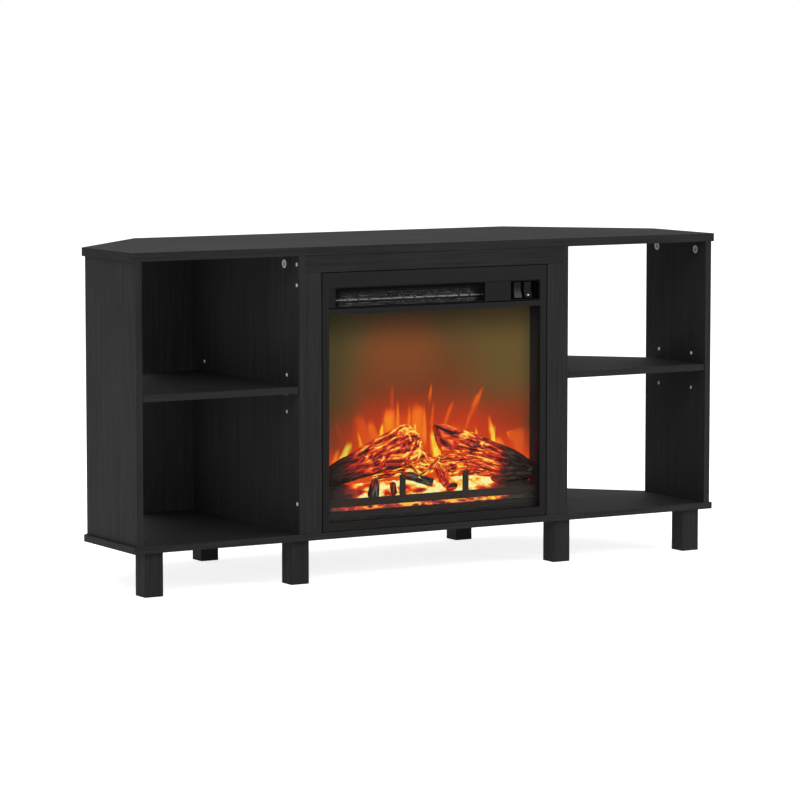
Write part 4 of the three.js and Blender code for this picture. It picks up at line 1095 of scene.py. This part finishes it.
# Each part: ends (x, y, z) and radii in millimetres, then how it burns along its length
logs = {
    'leftLog': ('left_log', [
        {'start': (-204, -165, 179), 'end': (-16, -165, 237), 'high': (18, 42), 'deep': (13, 13), 'bow': 1,
         'seed': 3.1, 'heat': 1.0, 'cool': (0.0, 0.56), 'ash': 0.08, 'ends': (0.7, 0.36), 'sparks': 0.55,
         'under': (-0.75, 0.1)},
    ]),
    'rightLog': ('right_log', [
        {'start': (25, -166, 240), 'end': (226, -163, 177), 'high': (25.5, 11), 'deep': (13, 9), 'bow': 6,
         'seed': 8.4, 'heat': 1.03, 'fade': (0.45, 0.8), 'ash': 0.2, 'ends': (1, 0.5), 'lean': 0.56,
         'cut': (0.05, 0), 'under': (0.15, 0)},
        {'start': (32, -166, 192), 'end': (170, -166, 169), 'high': (20, 15), 'deep': (13.5, 12), 'bow': 3,
         'seed': 12.3, 'heat': 1.0, 'fade': (0.7, 1.05), 'ends': (0.7, 0.6), 'under': (0.1, 0)},
        {'start': (140, -165, 163), 'end': (229, -162, 168), 'high': (15, 17), 'deep': (12, 10), 'bow': 2,
         'seed': 21.3, 'heat': 0.42, 'fade': (0.0, 0.6), 'ash': 0.45, 'ends': (0.5, 0.5), 'sparks': 0.25},
    ]),
    'centreLog': ('centre_log', [
        {'start': (-48, -160, 178), 'end': (8, -172, 160), 'high': (9, 8), 'deep': (8, 7),
         'seed': 5.7, 'heat': 0.7, 'fade': (0.0, 0.45), 'ash': 0.9, 'ends': (0.7, 1), 'cut': (0, 0.12)},
        {'start': (-104, -157, 177), 'end': (22, -157, 183), 'high': (11, 10), 'deep': (7, 7), 'bow': 4,
         'seed': 9.9, 'heat': 1.15, 'ash': 0.0, 'sparks': 0.6},
    ]),
    'splitLog': ('split_log', [
        {'start': (19, -168, 190), 'end': (38, -176, 152), 'high': (7.5, 7.5), 'deep': (7, 6),
         'seed': 6.6, 'heat': 0.82, 'ash': 0.05, 'ends': (0.7, 0.8), 'sparks': 0.2},
        {'start': (36, -178, 150), 'end': (58, -176, 152), 'high': (9, 6), 'deep': (4, 4),
         'seed': 2.6, 'heat': 0.62, 'sparks': 0.2},
    ]),
    'ashStub': (None, [
        {'start': (-111, -177, 174), 'end': (-116, -177, 141), 'high': (9, 12), 'deep': (5, 5),
         'seed': 14.6, 'heat': 0.5, 'fade': (0.2, 0.7), 'ash': 1.0, 'ends': (0.5, 0.7), 'under': (0.1, 0)},
    ]),
    'emberChip': (None, [
        {'start': (-77, -178, 166), 'end': (-74, -178, 144), 'high': (6, 7), 'deep': (4, 4),
         'seed': 17.6, 'heat': 0.66, 'ends': (0.4, 0.6), 'sparks': 0.1},
    ]),
}


# Noise over a surface, stretched along and across it
def noiseAt(along, across, stretch, seed):
    return noise.noise((along * stretch[0], across * stretch[1], seed))


def layered(layers, along, across, seed):
    return sum(share * noise.noise((along * stretch + shift, across * wide, seed + extra))
               for share, stretch, wide, shift, extra in layers)


# Cracks between the plates of bark, char on them, and a broad change of tone
def barkAt(run, around, seed):
    warp = noiseAt(run, around, bark['warp'], seed)
    along = run * bark['streakAlong'] + warp * bark['warpShift'][0]
    across = around * bark['streakAcross'] + warp * bark['warpShift'][1]
    streak, char, tone = (layered(bark[key], along, across, seed) for key in ('streaks', 'chars', 'tones'))
    return held(1 - abs(streak) * bark['crackEdge']), held(1.15 - abs(char) * bark['charEdge']), tone


def warmthAt(log, along):
    warmth = log['heat']
    if log['cool']:
        warmth *= mixed(bark['coolRest'], 1, eased(along, *log['cool']))
    if log['fade']:
        warmth *= 1 - bark['fadeShare'] * eased(along, *log['fade'])
    return warmth


def burntLog(log):
    log = {**plainLog, **log}
    seed = log['seed']
    start = Vector(log['start']) * mm
    end = Vector(log['end']) * mm
    length = (end - start).length
    axis = (end - start).normalized()
    backward = (Vector((0, 1, 0)) - axis * axis.y).normalized()
    upward = backward.cross(axis).normalized()
    if not (upward.z > 0 or abs(upward.z) < 0.3 and upward.x > 0):
        upward = -upward
    girth = math.tau * (sum(log['high']) + sum(log['deep'])) / 4 * mm
    rows = max(10, round(length / bark['step']))
    sides = max(20, round(girth / bark['step']))
    caps = [cap / bark['capRings'] for cap in range(1, bark['capRings'])]
    steps = [(0, shrink) for shrink in caps] + [(row / rows, 1) for row in range(rows + 1)]
    steps += [(1, shrink) for shrink in reversed(caps)]
    rings = []
    for along, shrink in steps:
        far = int(along >= 0.5)
        way = 1 if far else -1
        cut = log['cut'][far]
        nearEnd = held(min(along, 1 - along) / bark['roundShare'])
        rounded = mixed(log['ends'][far], 1, math.sqrt(held(1 - (1 - nearEnd) ** 2)))
        high = mixed(*log['high'], along) * mm * rounded
        deep = mixed(*log['deep'], along) * mm * rounded
        middle = start.lerp(end, along) + Vector((0, 0, log['bow'] * mm * math.sin(math.pi * along)))
        bulge = bark['cutBulge'] if cut else bark['capBulge']
        middle += axis * way * math.sqrt(max(0, 1 - shrink * shrink)) * high * bulge
        lean = log['lean'] * held(1 - along / bark['leanShare'])
        leaned = upward * math.cos(lean) - axis * math.sin(lean)
        warmth = warmthAt(log, along)
        sawn = 1 - eased(along, *bark['sawnShare']) if log['cut'][0] else 0
        look = {key: mixed(bark['plain'][key], bark['sawn'][key], sawn) for key in bark['plain']}
        ring = []
        for side in range(sides):
            angle = math.tau * side / sides
            run = along * length + (1 - shrink) * high * way
            around = girth * side / sides
            crack, char, tone = barkAt(run, around, seed)
            relief = tone * bark['plate'] - crack * bark['crackDepth'] - char * bark['rough']
            relief *= min(1, high / bark['thin']) * (bark['capRelief'] if shrink < 1 else 1)
            place = middle + leaned * (high * shrink + relief) * math.sin(angle)
            place += backward * (deep * shrink + relief) * math.cos(angle)
            place.y = held(place.y, bedLow.y + bark['frontGap'], bedHigh.y - bark['backGap'])
            # Painted light from the glowing bed on the log's underside where the share is positive; where it
            # is negative the underside is darker, partly char and partly painted shade
            under = held(-math.sin(angle)) * mixed(*log['under'], along)
            bright = look['glow'] + crack * look['crack'] + tone * bark['toneGlow'] - char * look['char']
            spark = noiseAt(run, around, bark['sparkSize'], seed + 50)
            sparks = log['sparks'] * eased(along, *bark['sparkSpan']) * held(spark * 2.4)
            glow = warmth * (bright + under + sparks)
            if cut and shrink < 1:
                glow *= bark['cutGlow'] if shrink < 0.8 else bark['cutRim']
            ashen = noiseAt(run, around, bark['ashSize'], seed + 70)
            ash = held(log['ash'] * (0.55 + ashen * 1.8))
            ring.append((place, (held(glow), ash, run + seed, around)))
        rings.append(ring)
    return rings


for name, (node, parts) in logs.items():
    glowingPiece(name, [burntLog(part) for part in parts], woodFire, node)
print('logs carved')

# Splinters of burning wood that fill the gap between the logs
splinters = {
    'count': 26,
    'seed': 11,
    'x': (-34, 44),
    'z': (179, 211),
    'y': (-171, -155),
    'length': (20, 42),
    'radius': (3, 5.5),
    'tilt': (-0.3, 0.5),
    'turn': (-0.2, 0.2),
    'bow': (0, 3),
    'heat': (0.85, 1.35),
}


def splinterHeap(look):
    draw = random.Random(look['seed'])
    left, right = look['x']
    parts = []
    for number in range(look['count']):
        x = draw.uniform(left, right)
        crown = held(1.1 - abs(x - mixed(left, right, 0.55)) / (right - left) * 1.5)
        y = draw.uniform(*look['y'])
        middle = Vector((x, y, mixed(look['z'][0], mixed(*look['z'], crown), draw.random())))
        tilt = draw.gauss(*look['tilt'])
        half = Vector((math.cos(tilt), draw.uniform(*look['turn']), math.sin(tilt)))
        half *= draw.uniform(*look['length']) / 2
        radius = draw.uniform(*look['radius'])
        parts.append(burntLog({
            'start': middle - half, 'end': middle + half, 'high': (radius, radius * 0.8),
            'deep': (radius, radius), 'bow': draw.uniform(*look['bow']), 'seed': 30 + number * 1.7,
            'heat': draw.uniform(*look['heat']), 'ash': 0, 'ends': (0.4, 0.4), 'sparks': 0.4,
            'under': (0.1, 0.1),
        }))
    glowingPiece('splinters', parts, woodFire)


splinterHeap(splinters)
print('splinters laid')

# Ember bed: a heap of coals that rises to the back. Each span: from and to full, from full and to none
bed = {
    'step': 1.3 * mm,
    'front': 10 * mm,
    'back': 44 * mm,
    'slope': Vector((0, -0.75, 0.66)),
    'coal': 8.5 * mm,
    'lift': 3.4 * mm,
    'proud': 0.2 * mm,
    'hot': (-0.160, -0.130, 0.126, 0.166),
    'warm': (-0.192, -0.142, 0.140, 0.190),
    'strip': (-0.208, -0.196, 0.160, 0.172),
    'stripShare': 1.4,
    # Stretch across, stretch along and seed of its spots, wide patches, streaks and crumbs
    'noises': [((55, 120), 7.7), ((26, 60), 2.2), ((45, 160), 5.1), ((140, 260), 3.3)],
    'hottest': stops((0.94, 255, 214, 64), (1.00, 255, 250, 178)),
}


def spanned(x, span):
    return eased(x, *span[:2]) * (1 - eased(x, *span[2:]))


def emberBed(look):
    front = look['front']
    columns = round((bedHigh.x - bedLow.x) / look['step'])
    slopeRun = math.hypot(bedHigh.y - bedLow.y, look['back'] - front)
    rows = round((front + slopeRun) / look['step'])
    rings = []
    for column in range(columns + 1):
        x = mixed(bedLow.x, bedHigh.x, column / columns)
        hot, warm, strip = (spanned(x, look[key]) for key in ('hot', 'warm', 'strip'))
        ring = [((x, bedLow.y, bedLow.z), (0, 0.3))]
        for row in range(1, rows + 1):
            run = (front + slopeRun) * row / rows
            near, far = noise.voronoi((x / look['coal'], run / look['coal'] * 1.3, 4.2))[0][:2]
            stone = held((far - near) * 2.2) ** 0.6
            lift = (stone - 0.75) * look['lift']
            if run < front:
                place = Vector((x, bedLow.y - min(lift, look['proud']), bedLow.z + run))
            else:
                share = (run - front) / slopeRun
                z = bedLow.z + mixed(front, look['back'], share)
                place = Vector((x, mixed(bedLow.y, bedHigh.y, share), z)) + look['slope'] * lift
            place.y = held(place.y, bedLow.y - look['proud'], bedHigh.y)
            spot, wide, streak, crumbs = (noiseAt(x, run, *grain) for grain in look['noises'])
            if run < front * look['stripShare']:
                streak = held(1 - abs(streak) * 3.2)
                patch = eased(noise.noise((x * 21, 3.3, 1.7)), -0.5, 0.0)
                glow = strip * (0.24 + spot * 0.35 + streak * 0.4)
                glow += hot * patch * (0.24 + streak * 0.42 + spot * 0.9 + crumbs * 0.7)
                ring.append((place, (held(glow, 0, 0.9), 0.5)))
            else:
                # The glow is lower in the crevices between the coals, a painted shade
                glow = warm * (0.36 + spot * 0.3) + hot * (0.69 + wide * 0.8 + spot * 0.4 - (1 - stone) * 0.2)
                ring.append((place, (held(glow), 0.15)))
        ring.append(((x, bedHigh.y, bedLow.z), (0, 0.3)))
        rings.append(ring)
    coals = burningMaterial('emberGlow', grainSize=300, hottest=look['hottest'])
    glowingPiece('emberBed', [rings], coals, 'ember_bed')


emberBed(bed)
print('ember bed heaped')

# The heater's sheath has a painted highlight above and painted shade below, between the dark clips that hold
# it
heater = {
    'clipPitch': 23 * mm,
    'clipShare': 0.18,
    'clipSoft': 0.03,
    'highlightBand': (0.58, 0.72),
    'metal': grey(222),
    'clip': grey(40),
    'dull': grey(14),
}


def heaterSheath(look):
    low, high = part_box('heater_rod')
    recipe = Recipe('heaterTube')
    x, _, z = recipe.axes()
    drawn = recipe.noise((40, 900, 900), detail=3)
    turn = recipe.calc('FRACT', x / look['clipPitch'] + drawn * 0.2)
    half, soft = look['clipShare'] / 2, look['clipSoft']
    clip = recipe.smooth(abs(turn - 0.5), half + soft, half - soft)
    # Painted highlight on the upper part of the sheath, painted shade below it
    highlightBand = recipe.smooth(z, *(mixed(low.z, high.z, share) for share in look['highlightBand']))
    sheath = recipe.mix(highlightBand, look['dull'], look['metal'])
    colour = recipe.mix(clip, sheath, look['clip'])
    return recipe.finish(colour, drawn * 0.2 + 0.3, drawn, 0.05 * mm, metallic=0.5)


# Parts inside the insert that hardly show keep their solids as they are
hidden = {
    'heater_rod': heaterSheath(heater),
    'blower_wheel': powderCoat('wheelCoat', grey(26), grey(38)),
    'blower_motor': plainSteel,
    'spindle_motor': plainSteel,
    'flame_spindle': metalSheet('vaneSheet', grey(190), 0.3, 200),
    'lamp_board': powderCoat('boardLacquer', rgb(20, 70, 38), rgb(30, 96, 52), roughness=0.4),
    'cord_gland': powderCoat('glandRubber', grey(16), grey(24), roughness=0.7),
}
for node, material in hidden.items():
    dressNode(node, material)
print('inner parts dressed')
